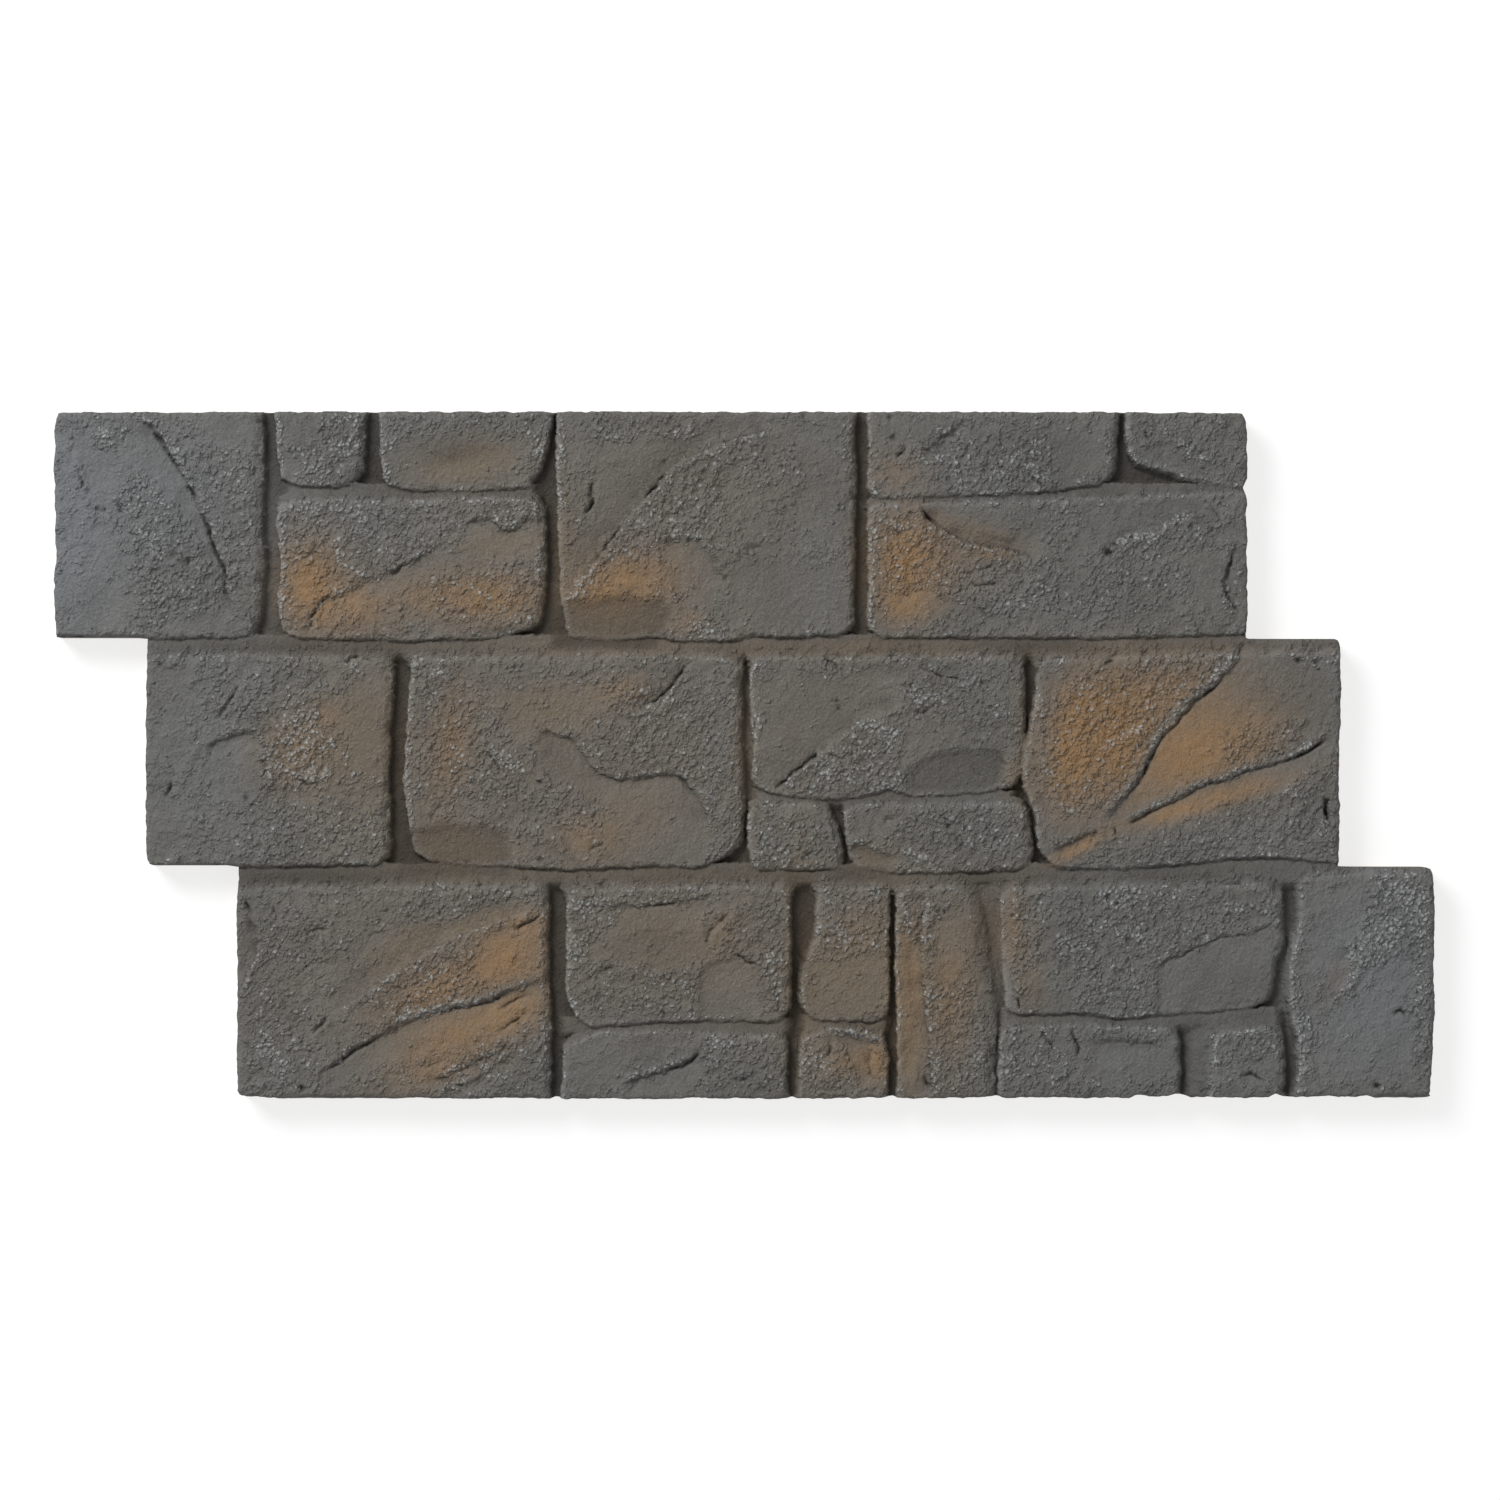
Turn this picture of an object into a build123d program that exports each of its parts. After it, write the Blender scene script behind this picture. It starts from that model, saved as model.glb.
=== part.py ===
from build123d import *
import os
from math import cos, hypot, radians, sin

# A faux stone wall panel, moulded in one piece in dense rigid foam.
# X runs along the courses, Y up the wall and Z out of the stone face.
# The origin is under the middle of the panel, on its flat back.

# The three courses, each set over to the right of the one above
course_length = 1055.0
course_height = 202.5
course_step = 82.0

# The section through the moulding: the common stone face lies a little under the full thickness
panel_thickness = 38.0
back_thickness = 24.0
face_allowance = 3.4
root_depth = 2.0
edge_chamfer = 2.5

# The joints between the stones, measured on their floor
upright_joint = 8.8
bed_joint = 3.5

# How far each side of a stone slopes in, from the joint floor to its face
top_slope = 12.0
inner_top_slope = 8.0
right_slope = 8.0
steep_slope = 2.0
arris = 1.6
corner_radius = 5.0

# A stone's side turns at its shoulder, this share of the way in and of the way up
shoulder_in = 0.75
shoulder_up = 0.8

# The clefts: how thin they run out at both ends, and how far their steep wall leans
cleft_end_share = 0.35
cleft_wall_lean = 0.25
cut_clearance = 4.0

# The outer corners of the panel, and how far its ends and its lower edge wander
outer_corner_radius = 8.0
inner_corner_radius = 3.0
wave_radius = 60.0
trim_allowance = 8.0


class Cleft:
    """A split in a face: steep on the path, and running out over a gentle plane to one side of it.

    The path is in shares of the stone's width and height. The gentle plane lies to the left of the
    path, as it is walked, or to the right of it where the run is negative.
    """

    def __init__(self, *path, depth=3.0, run=20.0):
        self.path = path
        self.depth = depth
        self.run = run


class Facet:
    """A broken plane that dips away from a point of the face, towards a heading in degrees."""

    def __init__(self, share_x, share_y, heading, dip):
        self.share_x = share_x
        self.share_y = share_y
        self.heading = heading
        self.dip = dip


class Scoop:
    """A round hollow in a face."""

    def __init__(self, share_x, share_y, reach, depth):
        self.share_x = share_x
        self.share_y = share_y
        self.reach = reach
        self.depth = depth


class Stone:
    """One stone face. Width and height are its drawn size, of which the layout takes shares.

    Extra is how much further it stands out than the common rise. Lean is how much its right side
    and its top stand out further than its middle. Corners move by millimetres, and bends are
    (share along the side, millimetres outwards).
    """

    def __init__(self, width, extra=0.0, lean=(0.0, 0.0), corners=None, bends=None, breaks=()):
        self.width = width
        self.extra = extra
        self.lean = lean
        self.corners = corners or {}
        self.bends = bends or {}
        self.breaks = breaks


class Column:
    """Rows of stones between two upright joints: each row is (drawn height, stones)."""

    def __init__(self, width, *rows, joint=upright_joint):
        self.width = width
        self.rows = rows
        self.joint = joint


# The upper course
upper_course = [
    Column(
        187,
        (200, [Stone(187, 2.0, (-0.6, 0.4), bends={"right": [(0.3, 1.5), (0.75, -1.5)]}, breaks=[
            Cleft((0.40, 0.97), (0.53, 0.85), (0.67, 0.68), (0.73, 0.56), (0.81, 0.36), (0.87, 0.07),
                  depth=3.0, run=-26.0),
            Scoop(0.24, 0.17, 26, 2.6),
        ])]),
        joint=upright_joint - 1.8,
    ),
    Column(
        247,
        (66, [
            Stone(83, 2.2, (-0.4, 0.5), bends={"bottom": [(0.5, 1.5)]}),
            Stone(153, 1.2, (-0.8, 0.4), corners={"bottom_right": (-9, 1)}, breaks=[
                Facet(0.92, 0.5, 0, 24),
                Scoop(0.45, 0.30, 24, 2.0),
            ]),
        ]),
        (130, [Stone(247, 2.0, (-0.5, 0.5), bends={"left": [(0.55, -2.0)], "bottom": [(0.5, 2.0)]}, breaks=[
            Cleft((0.22, 0.26), (0.31, 0.36), (0.45, 0.49), (0.60, 0.63), (0.74, 0.78),
                  depth=2.6, run=18.0),
            Facet(0.88, 0.16, 300, 14),
        ])]),
        joint=upright_joint - 2.4,
    ),
    Column(
        260,
        (200, [Stone(260, 2.6, (-0.6, 0.6), bends={"bottom": [(0.35, -2.0), (0.62, 1.0)]}, breaks=[
            Cleft((0.41, 0.77), (0.25, 0.56), (0.14, 0.37), (0.03, 0.19), depth=3.0, run=-30.0),
            Cleft((0.28, 0.45), (0.45, 0.44), (0.53, 0.33), (0.57, 0.20), depth=2.6, run=-18.0),
            Cleft((0.125, 0.72), (0.11, 0.63), (0.085, 0.52), depth=5.0, run=3.5),
            Scoop(0.19, 0.05, 34, 5.0),
        ])]),
        joint=upright_joint + 1.7,
    ),
    Column(
        338,
        (72, [
            Stone(218, 1.8, (0.6, 0.4), corners={"bottom_left": (0, -6), "bottom_right": (0, 5)}, breaks=[
                Cleft((0.14, 0.86), (0.36, 0.58), (0.52, 0.40), (0.72, 0.06), depth=2.8, run=24.0),
            ]),
            Stone(110, 1.6, (0.2, 0.8), corners={"bottom_left": (0, 6)}, breaks=[
                Facet(0.30, 0.34, 236, 20),
            ]),
        ]),
        (124, [Stone(338, 2.2, (-0.8, 0.2), corners={"top_left": (0, -5), "top_right": (0, 5)}, breaks=[
            Cleft((0.14, 0.90), (0.19, 0.79), (0.26, 0.70), (0.38, 0.66), (0.44, 0.57), (0.52, 0.54),
                  depth=3.0, run=26.0),
            Cleft((0.66, 0.71), (0.76, 0.78), (0.82, 0.87), (0.90, 0.95), depth=2.4, run=22.0),
            Facet(0.965, 0.42, 350, 22),
        ])]),
    ),
]

# The middle course
middle_course = [
    Column(
        220,
        (200, [Stone(220, 2.0, (0.4, 0.4), bends={"right": [(0.2, -1.5), (0.5, 2.0)]}, breaks=[
            Cleft((0.26, 0.56), (0.36, 0.59), (0.43, 0.56), (0.47, 0.50), (0.49, 0.36),
                  depth=2.6, run=-26.0),
            Facet(0.20, 0.13, 240, 13),
        ])]),
        joint=upright_joint + 0.9,
    ),
    Column(
        295,
        (200, [Stone(295, 2.6, (-0.5, 0.3), bends={"left": [(0.6, 2.5)], "bottom": [(0.3, -2.0)]}, breaks=[
            Cleft((0.86, 0.93), (0.83, 0.85), (0.78, 0.78), (0.70, 0.71), depth=3.0, run=-22.0),
            Cleft((0.38, 0.60), (0.48, 0.58), (0.53, 0.49), (0.61, 0.41), (0.74, 0.42), (0.84, 0.36),
                  (0.90, 0.26), (0.92, 0.08), depth=3.2, run=-24.0),
            Scoop(0.15, 0.04, 36, 4.6),
        ])]),
        joint=upright_joint,
    ),
    Column(
        241,
        (134, [Stone(241, 1.8, (0.3, 0.5), corners={"bottom_left": (2, 2)}, bends={"left": [(0.4, -3.5)]},
                     breaks=[
            Cleft((0.12, 0.02), (0.27, 0.26), (0.40, 0.45), (0.56, 0.57), depth=2.8, run=26.0),
            Cleft((0.58, 0.13), (0.72, 0.23), (0.88, 0.26), depth=5.0, run=-16.0),
        ])]),
        (60, [
            Stone(76, 1.4, (0.2, 0.2), corners={"top_right": (-5, 0), "bottom_right": (4, 0)}),
            Stone(161, 1.6, (0.2, 0.4), corners={"top_left": (-5, 0), "bottom_left": (4, 0)}, breaks=[
                Scoop(0.12, 0.12, 22, 4.4),
            ]),
        ]),
        joint=upright_joint + 0.9,
    ),
    Column(
        271,
        (200, [Stone(271, 2.4, (-0.5, 0.3), corners={"bottom_left": (8, 0)},
                     bends={"left": [(0.35, 1.0), (0.55, 7.0)]}, breaks=[
            Cleft((0.66, 0.95), (0.62, 0.85), (0.52, 0.73), (0.40, 0.57), (0.38, 0.48), (0.32, 0.34),
                  (0.23, 0.21), depth=3.4, run=20.0),
            Cleft((0.95, 0.57), (0.82, 0.47), (0.72, 0.43), (0.56, 0.36), (0.44, 0.28), (0.30, 0.19),
                  depth=3.2, run=14.0),
        ])]),
    ),
]

# The lower course
lower_course = [
    Column(
        280,
        (200, [Stone(280, 2.4, (-0.6, 0.4), bends={"right": [(0.5, -1.0)]}, breaks=[
            Cleft((0.50, 0.56), (0.58, 0.62), (0.69, 0.68), (0.79, 0.73), depth=2.6, run=20.0),
            Cleft((0.26, 0.11), (0.33, 0.16), (0.41, 0.24), (0.53, 0.34), (0.64, 0.36), (0.79, 0.43),
                  (0.94, 0.51), depth=3.4, run=22.0),
            Cleft((0.56, 0.10), (0.70, 0.16), (0.85, 0.30), depth=2.4, run=16.0),
            Facet(0.09, 0.64, 176, 16),
        ])]),
        joint=upright_joint,
    ),
    Column(
        201,
        (134, [Stone(201, 2.2, (0.4, 0.5), corners={"bottom_left": (3, 5)}, bends={"bottom": [(0.3, 2.0)]},
                     breaks=[
            Cleft((0.75, 0.78), (0.68, 0.66), (0.65, 0.54), (0.70, 0.46), (0.87, 0.38),
                  depth=2.8, run=-20.0),
            Facet(0.94, 0.20, 318, 15),
        ])]),
        (60, [Stone(201, 1.4, (-0.4, 0.3), corners={"top_left": (2, -2)}, breaks=[
            Cleft((0.33, 0.36), (0.42, 0.46), (0.52, 0.54), (0.60, 0.66), depth=2.2, run=18.0),
        ])]),
        joint=upright_joint + 5.3,
    ),
    Column(
        72,
        (134, [Stone(72, 0.6, (-0.5, 0.3), corners={"top_left": (6, 0), "bottom_left": (-1, 2)})]),
        (62, [Stone(72, 0.6, (0.3, 0.2), corners={"bottom_left": (-3, 0)})]),
        joint=upright_joint - 2.6,
    ),
    Column(
        83,
        (200, [Stone(83, 2.4, (0.0, 0.3), corners={"top_right": (-14, 0), "bottom_right": (3, 0)}, breaks=[
            Facet(0.27, 0.50, 180, 13),
        ])]),
        joint=upright_joint,
    ),
    Column(
        248,
        (130, [Stone(248, 1.8, (0.4, 0.3), bends={"left": [(0.4, -2.0)], "right": [(0.35, 1.5)]}, breaks=[
            Cleft((0.56, 0.18), (0.56, 0.32), (0.65, 0.42), (0.78, 0.53), (0.87, 0.54), (0.95, 0.60),
                  depth=2.8, run=-24.0),
            Facet(0.90, 0.86, 48, 13),
        ])]),
        (67, [
            Stone(158, 1.4, (0.5, 0.2), corners={"top_left": (2, 0)}, breaks=[
                Facet(0.30, 0.50, 200, 6),
            ]),
            Stone(84, 1.8, (0.3, 0.4), corners={"top_left": (4, 0), "bottom_left": (-2, 0)}),
        ]),
        joint=upright_joint + 0.9,
    ),
    Column(
        126,
        (200, [Stone(126, 2.0, (-0.8, 0.3), bends={"left": [(0.25, -2.0), (0.6, 3.0)]}, breaks=[
            Cleft((0.43, 0.57), (0.39, 0.50), (0.29, 0.45), (0.15, 0.40), depth=2.4, run=-16.0),
            Facet(0.80, 0.70, 12, 8),
        ])]),
    ),
]

courses = [upper_course, middle_course, lower_course]

# Where the courses lie
panel_length = course_length + course_step * (len(courses) - 1)
panel_height = course_height * len(courses)
top_y = panel_height / 2


def course_left(index):
    return course_step * index - panel_length / 2


def course_top(index):
    return top_y - course_height * index


def face_height(stone, box, x, y):
    """The height of a stone's leaning face at a point."""
    left, bottom, right, top = box
    across = (2 * x - left - right) / (right - left)
    up = (2 * y - bottom - top) / (top - bottom)
    common = panel_thickness - face_allowance
    return common + stone.extra + stone.lean[0] * across + stone.lean[1] * up


def side_points(stone, box, insets):
    """The outline of a stone, anticlockwise from its lower left corner, with each side drawn in."""
    left = box[0] + insets[0]
    bottom = box[1] + insets[1]
    right = box[2] - insets[2]
    top = box[3] - insets[3]
    width = right - left
    height = top - bottom

    def corner(name, x, y):
        shift = stone.corners.get(name, (0, 0))
        return (x + shift[0], y + shift[1])

    def along(name):
        return sorted(stone.bends.get(name, []))

    points = [corner("bottom_left", left, bottom)]
    points += [(left + width * at, bottom - out) for at, out in along("bottom")]
    points.append(corner("bottom_right", right, bottom))
    points += [(right + out, bottom + height * at) for at, out in along("right")]
    points.append(corner("top_right", right, top))
    points += [(left + width * at, top + out) for at, out in reversed(along("top"))]
    points.append(corner("top_left", left, top))
    points += [(left - out, bottom + height * at) for at, out in reversed(along("left"))]
    return points


def block(stone, box, slopes):
    """The drafted block of one stone, with a rounded arris round its leaning face."""
    foot_z = back_thickness - root_depth
    levels = [(0.0, 0.0, 0.0), (shoulder_in, 0.0, shoulder_up), (1.0, arris, 1.0)]
    sections = []
    for slope_share, edge_in, rise_share in levels:
        insets = [slope * slope_share + edge_in for slope in slopes]
        outline = []
        for x, y in side_points(stone, box, insets):
            z = foot_z + (face_height(stone, box, x, y) - foot_z) * rise_share
            outline.append((x, y, z))
        sections.append(FilletPolyline(*outline, radius=corner_radius, close=True).wire())
    return Solid.make_loft(sections, ruled=True)


def cleft_cut(cleft, stone, box):
    """A wedge swept along the path of a cleft, thin at both ends."""
    left, bottom, right, top = box
    path = [(left + (right - left) * u, bottom + (top - bottom) * v) for u, v in cleft.path]
    side = 1 if cleft.run > 0 else -1
    sections = []
    for index, (x, y) in enumerate(path):
        before = path[max(index - 1, 0)]
        after = path[min(index + 1, len(path) - 1)]
        length = hypot(after[0] - before[0], after[1] - before[1])
        across_x = -(after[1] - before[1]) / length * side
        across_y = (after[0] - before[0]) / length * side
        depth = cleft.depth * (cleft_end_share if index in (0, len(path) - 1) else 1.0)
        z = face_height(stone, box, x, y)
        gentle_out = (depth + cut_clearance) * abs(cleft.run) / cleft.depth
        steep_out = -(depth + cut_clearance) * cleft_wall_lean
        sections.append(Wire.make_polygon([
            (x, y, z - depth),
            (x + across_x * gentle_out, y + across_y * gentle_out, z + cut_clearance),
            (x + across_x * steep_out, y + across_y * steep_out, z + cut_clearance),
        ], close=True))
    return Solid.make_loft(sections, ruled=True)


def facet_cut(facet, stone, box):
    """Everything above a plane that dips away from a point of the face."""
    left, bottom, right, top = box
    x = left + (right - left) * facet.share_x
    y = bottom + (top - bottom) * facet.share_y
    lean = sin(radians(facet.dip))
    normal = (
        lean * cos(radians(facet.heading)),
        lean * sin(radians(facet.heading)),
        cos(radians(facet.dip)),
    )
    reach = 2 * (right - left + top - bottom)
    plane = Plane(origin=(x, y, face_height(stone, box, x, y)), z_dir=normal)
    return plane * Box(reach, reach, reach, align=(Align.CENTER, Align.CENTER, Align.MIN))


def scoop_cut(scoop, stone, box):
    """A ball that dips into the face."""
    left, bottom, right, top = box
    x = left + (right - left) * scoop.share_x
    y = bottom + (top - bottom) * scoop.share_y
    radius = (scoop.reach ** 2 + scoop.depth ** 2) / (2 * scoop.depth)
    z = face_height(stone, box, x, y) - scoop.depth + radius
    return Pos(x, y, z) * Sphere(radius)


def broken_block(stone, box, slopes):
    """A stone's block with its clefts, facets and scoops taken out."""
    cuts = {Cleft: cleft_cut, Facet: facet_cut, Scoop: scoop_cut}
    shape = block(stone, box, slopes)
    for piece in stone.breaks:
        shape = shape - cuts[type(piece)](piece, stone, box)
    return shape


def course_blocks(index):
    """The blocks of one course, laid out as columns, rows and stones between the joints."""
    course = courses[index]
    is_top = index == 0
    is_bottom = index == len(courses) - 1
    floor = course_top(index) - course_height
    ceiling = course_top(index) - (0 if is_top else bed_joint)
    joints = sum(column.joint for column in course[:-1])
    spread = (course_length - joints) / sum(column.width for column in course)
    blocks = []
    x = course_left(index)
    for column in course:
        column_width = column.width * spread
        beds = bed_joint * (len(column.rows) - 1)
        stretch = (ceiling - floor - beds) / sum(height for height, _ in column.rows)
        y = ceiling
        for row_index, (height, row) in enumerate(column.rows):
            row_height = height * stretch
            gaps = upright_joint * (len(row) - 1)
            row_spread = (column_width - gaps) / sum(stone.width for stone in row)
            stone_x = x
            for stone_index, stone in enumerate(row):
                width = stone.width * row_spread
                box = [stone_x, y - row_height, stone_x + width, y]
                slopes = [steep_slope, steep_slope, right_slope, top_slope]
                if row_index > 0:
                    slopes[3] = inner_top_slope
                if column is course[0] and stone_index == 0:
                    box[0] -= trim_allowance
                if column is course[-1] and stone_index == len(row) - 1:
                    box[2] += trim_allowance + right_slope
                if is_top and row_index == 0:
                    box[3] += trim_allowance + top_slope
                if is_bottom and row_index == len(column.rows) - 1:
                    box[1] -= trim_allowance
                blocks.append(broken_block(stone, box, slopes))
                stone_x += width + upright_joint
            y -= row_height + bed_joint
        x += column_width + column.joint
    return blocks


# How far the left end, the right end and the lower edge of the panel wander, as (share, millimetres outwards)
left_waves = [[(0.35, -1.2), (0.75, 0.0)], [(0.30, 0.0), (0.72, -2.2)], [(0.30, -1.4), (0.78, 0.0)]]
right_waves = [[(0.30, 0.0), (0.67, -3.0)], [(0.40, -1.6), (0.75, 0.0)], [(0.45, 0.0), (0.80, -1.0)]]


def envelope():
    """The outer shape of the panel: the stepped outline, drawn in a little along its arris."""
    points = []
    radii = []

    def add(x, y, radius):
        points.append((x, y))
        radii.append(radius)

    last = len(courses) - 1
    for index in range(last, -1, -1):
        right = course_left(index) + course_length
        floor = course_top(index) - course_height
        add(right, floor, outer_corner_radius if index == last else inner_corner_radius)
        for at, out in right_waves[index]:
            add(right + out, floor + course_height * at, wave_radius)
        add(right, course_top(index), outer_corner_radius)
    for index in range(len(courses)):
        left = course_left(index)
        floor = course_top(index) - course_height
        add(left, course_top(index), outer_corner_radius if index == 0 else inner_corner_radius)
        for at, out in reversed(left_waves[index]):
            add(left - out, floor + course_height * at, wave_radius)
        add(left, floor, outer_corner_radius)
    outline = make_face(FilletPolyline(*[(x, y, 0) for x, y in points], radius=radii, close=True))
    shape = extrude(outline, panel_thickness)
    return chamfer(shape.faces().sort_by(Axis.Z)[-1].edges(), edge_chamfer)


def wall_panel():
    """The back slab and every stone in one solid, trimmed to the stepped outline."""
    slab = Pos(0, 0, back_thickness) * Box(
        panel_length + 2 * trim_allowance,
        panel_height + 2 * trim_allowance,
        back_thickness + trim_allowance,
        align=(Align.CENTER, Align.CENTER, Align.MAX),
    )
    blocks = [piece for index in range(len(courses)) for piece in course_blocks(index)]
    return slab.fuse(*blocks) & envelope()


os.makedirs("parts", exist_ok=True)
export_step(wall_panel(), "parts/wall_panel.step")
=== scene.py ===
import bmesh
import bpy
import math
import numpy as np
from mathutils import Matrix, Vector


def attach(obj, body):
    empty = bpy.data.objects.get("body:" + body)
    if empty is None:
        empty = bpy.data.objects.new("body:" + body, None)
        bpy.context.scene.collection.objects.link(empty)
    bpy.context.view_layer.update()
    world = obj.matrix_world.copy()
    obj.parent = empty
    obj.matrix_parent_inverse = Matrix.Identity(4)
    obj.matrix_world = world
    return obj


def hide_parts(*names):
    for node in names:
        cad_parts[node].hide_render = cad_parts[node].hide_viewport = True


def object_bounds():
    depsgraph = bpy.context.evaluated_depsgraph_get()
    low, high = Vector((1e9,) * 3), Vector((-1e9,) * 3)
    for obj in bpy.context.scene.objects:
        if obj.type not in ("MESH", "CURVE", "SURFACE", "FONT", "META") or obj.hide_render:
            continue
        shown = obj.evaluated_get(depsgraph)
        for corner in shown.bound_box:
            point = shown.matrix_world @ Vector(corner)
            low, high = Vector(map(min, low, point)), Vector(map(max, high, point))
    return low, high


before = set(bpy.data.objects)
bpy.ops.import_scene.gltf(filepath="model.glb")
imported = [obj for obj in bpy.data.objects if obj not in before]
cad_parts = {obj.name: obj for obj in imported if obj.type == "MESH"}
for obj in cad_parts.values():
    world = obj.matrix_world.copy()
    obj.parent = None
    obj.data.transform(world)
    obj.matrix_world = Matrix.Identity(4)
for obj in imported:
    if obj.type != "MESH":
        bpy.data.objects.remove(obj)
cad_low, cad_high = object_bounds()

# The plan of the moulding. The panel is one piece of dense foam, cast face down in a rubber mould:
# three courses, each set over to the right of the one above. Its plan is laid out in pixels of the
# photograph, right and down, so that each stone and split lies where the photograph shows it.
course_left = [53.0, 145.0, 236.0]
course_right = [1248.0, 1342.0, 1436.0]
course_edge = [411.0, 638.5, 867.0, 1100.0]
plan_middle = (
    (course_left[0] + course_right[2]) / 2,
    (course_edge[0] + course_edge[3]) / 2,
)
pixel = (cad_high.x - cad_low.x) / (course_right[2] - course_left[0])
millimetre = 0.001
grid_pitch = 1.15


def grid_lines(stops):
    """Even grid lines through every stop, so that a line runs along each edge of each course."""
    lines = [stops[0]]
    for start, end in zip(stops, stops[1:]):
        count = math.ceil((end - start) / grid_pitch)
        lines += [start + (end - start) * step / count for step in range(1, count + 1)]
    return np.array(lines)


grid_x = grid_lines(sorted(course_left + course_right))
grid_y = grid_lines(course_edge)
plan_x, plan_y = np.meshgrid(grid_x, grid_y)

# A random field repeats after so many hills, and this gain brings it to about -1 to 1
field_size = 256
field_gain = 1.6


def rolling(x, y, size, seed):
    """Smooth random hills and hollows, about -1 to 1, some size pixels across."""
    random = np.random.default_rng(seed)
    turn = random.random() * 2 * math.pi
    way = random.random((field_size, field_size)) * 2 * math.pi
    way_x, way_y = np.cos(way), np.sin(way)
    u = (x * math.cos(turn) + y * math.sin(turn)) / size
    v = (y * math.cos(turn) - x * math.sin(turn)) / size
    column, row = np.floor(u).astype(int), np.floor(v).astype(int)
    u, v = u - column, v - row

    def corner(right, down):
        place = ((row + down) % field_size, (column + right) % field_size)
        return way_x[place] * (u - right) + way_y[place] * (v - down)

    ease_u = u ** 3 * (u * (u * 6 - 15) + 10)
    ease_v = v ** 3 * (v * (v * 6 - 15) + 10)
    upper = corner(0, 0) * (1 - ease_u) + corner(1, 0) * ease_u
    lower = corner(0, 1) * (1 - ease_u) + corner(1, 1) * ease_u
    return field_gain * (upper * (1 - ease_v) + lower * ease_v)


def hills(size, seed):
    """The same over the whole plan."""
    return rolling(plan_x, plan_y, size, seed)


def hand_drawn(lines, seed):
    """The lines of the plan bent a little, as everything is that is carved by hand."""
    return lines + 1.0 * hills(26, seed) + 1.1 * hills(10, seed + 1) + 0.9 * hills(5, seed + 2)


def torn(lines, seed):
    """Carved lines bent much more, for the outlines of worn and broken patches."""
    return lines + 6 * hills(34, seed) + 4 * hills(13, seed + 1)


carved_x, carved_y = hand_drawn(plan_x, 11), hand_drawn(plan_y, 14)
torn_x, torn_y = torn(carved_x, 19), torn(carved_y, 25)

# The relief of the face. The master was carved from split stones bedded in mortar, and the mould
# carries every split, hollow and rough break of it. Heights are in millimetres above the flat back,
# and these arrays hold, for each point of the grid, what the carving tools below leave there.
joint_floor = 24.0
usual_ruggedness = 0.50
surface = joint_floor + 0.35 * hills(18, 21) + 0.25 * hills(6, 22)
ruggedness = np.full_like(plan_x, usual_ruggedness)
face_relief = np.zeros_like(plan_x)
chips = np.clip(1.3 * hills(11, 17) + 0.7 * hills(5, 18) - 0.2, 0, 1.2)

# Where the faces, their upper slopes, the foot under them, the mortar beds and the lit arrises lie
face_share, strip_share, under_edge, bed_share, rim_light = (np.zeros_like(plan_x) for _ in range(5))

# How much of each paint a point takes, with painted highlight in the pale paint and painted shade in
# the dark stain, and how much of the dark wash is left off
ochre, brown, bluish, frost_and_highlight, stain_and_shade, thinned_wash = (np.zeros_like(plan_x) for _ in range(6))


def near(points, margin):
    """The part of the grid within a margin of some points."""
    left = min(x for x, _ in points) - margin
    right = max(x for x, _ in points) + margin
    top = min(y for _, y in points) - margin
    bottom = max(y for _, y in points) + margin
    rows = slice(np.searchsorted(grid_y, top), np.searchsorted(grid_y, bottom))
    columns = slice(np.searchsorted(grid_x, left), np.searchsorted(grid_x, right))
    return rows, columns


def ease(value):
    """From 0 to 1, flat at both ends."""
    value = np.clip(value, 0.0, 1.0)
    return value * value * (3 - 2 * value)


very_far = 1e9
crease = 6


def along(path, x, y):
    """How far each point lies from a path, the way there, and how far along the path that is.

    The last value is the distance again, eased so that it has no creases where the path bends.
    """
    lengths = [math.dist(start, end) for start, end in zip(path, path[1:])]
    total = sum(lengths)
    best = np.full_like(x, very_far)
    away_x, away_y = np.zeros_like(x), np.zeros_like(x)
    run_x, run_y = np.zeros_like(x), np.zeros_like(x)
    share = np.zeros_like(x)
    eased = np.zeros_like(x)
    walked = 0.0
    for (x0, y0), (x1, y1), length in zip(path, path[1:], lengths):
        step_x, step_y = (x1 - x0) / length, (y1 - y0) / length
        at = np.clip((x - x0) * step_x + (y - y0) * step_y, 0, length)
        off_x, off_y = x - (x0 + step_x * at), y - (y0 + step_y * at)
        distance = off_x ** 2 + off_y ** 2
        eased += length * np.exp(-np.sqrt(distance) / crease)
        closer = distance < best
        best = np.where(closer, distance, best)
        away_x, away_y = np.where(closer, off_x, away_x), np.where(closer, off_y, away_y)
        run_x, run_y = np.where(closer, step_x, run_x), np.where(closer, step_y, run_y)
        share = np.where(closer, (walked + at) / total, share)
        walked += length
    eased = -crease * np.log(np.maximum(eased, 1e-9) / (2 * crease))
    return np.sqrt(best), away_x, away_y, run_x, run_y, share, eased


def inside(outline, x, y):
    """Whether each point lies within a closed outline."""
    found = np.zeros(x.shape, bool)
    for (x0, y0), (x1, y1) in zip(outline, outline[1:] + outline[:1]):
        if y0 == y1:
            continue
        crosses = (y0 > y) != (y1 > y)
        found ^= crosses & (x < (x1 - x0) * (y - y0) / (y1 - y0) + x0)
    return found


def soft_inside(outline, x, y, blur):
    """1 well within a closed outline and 0 well outside it, easing over a blur."""
    distance = along(outline + outline[:1], x, y)[0]
    return ease(0.5 + np.where(inside(outline, x, y), distance, -distance) / blur)


def tapered(share, fade):
    """1 along the middle of a line, easing to 0 over a share of it at both ends."""
    return ease(share / fade) * ease((1 - share) / fade)


sides = {"left": (-1, 0), "right": (1, 0), "above": (0, -1), "below": (0, 1)}

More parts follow.
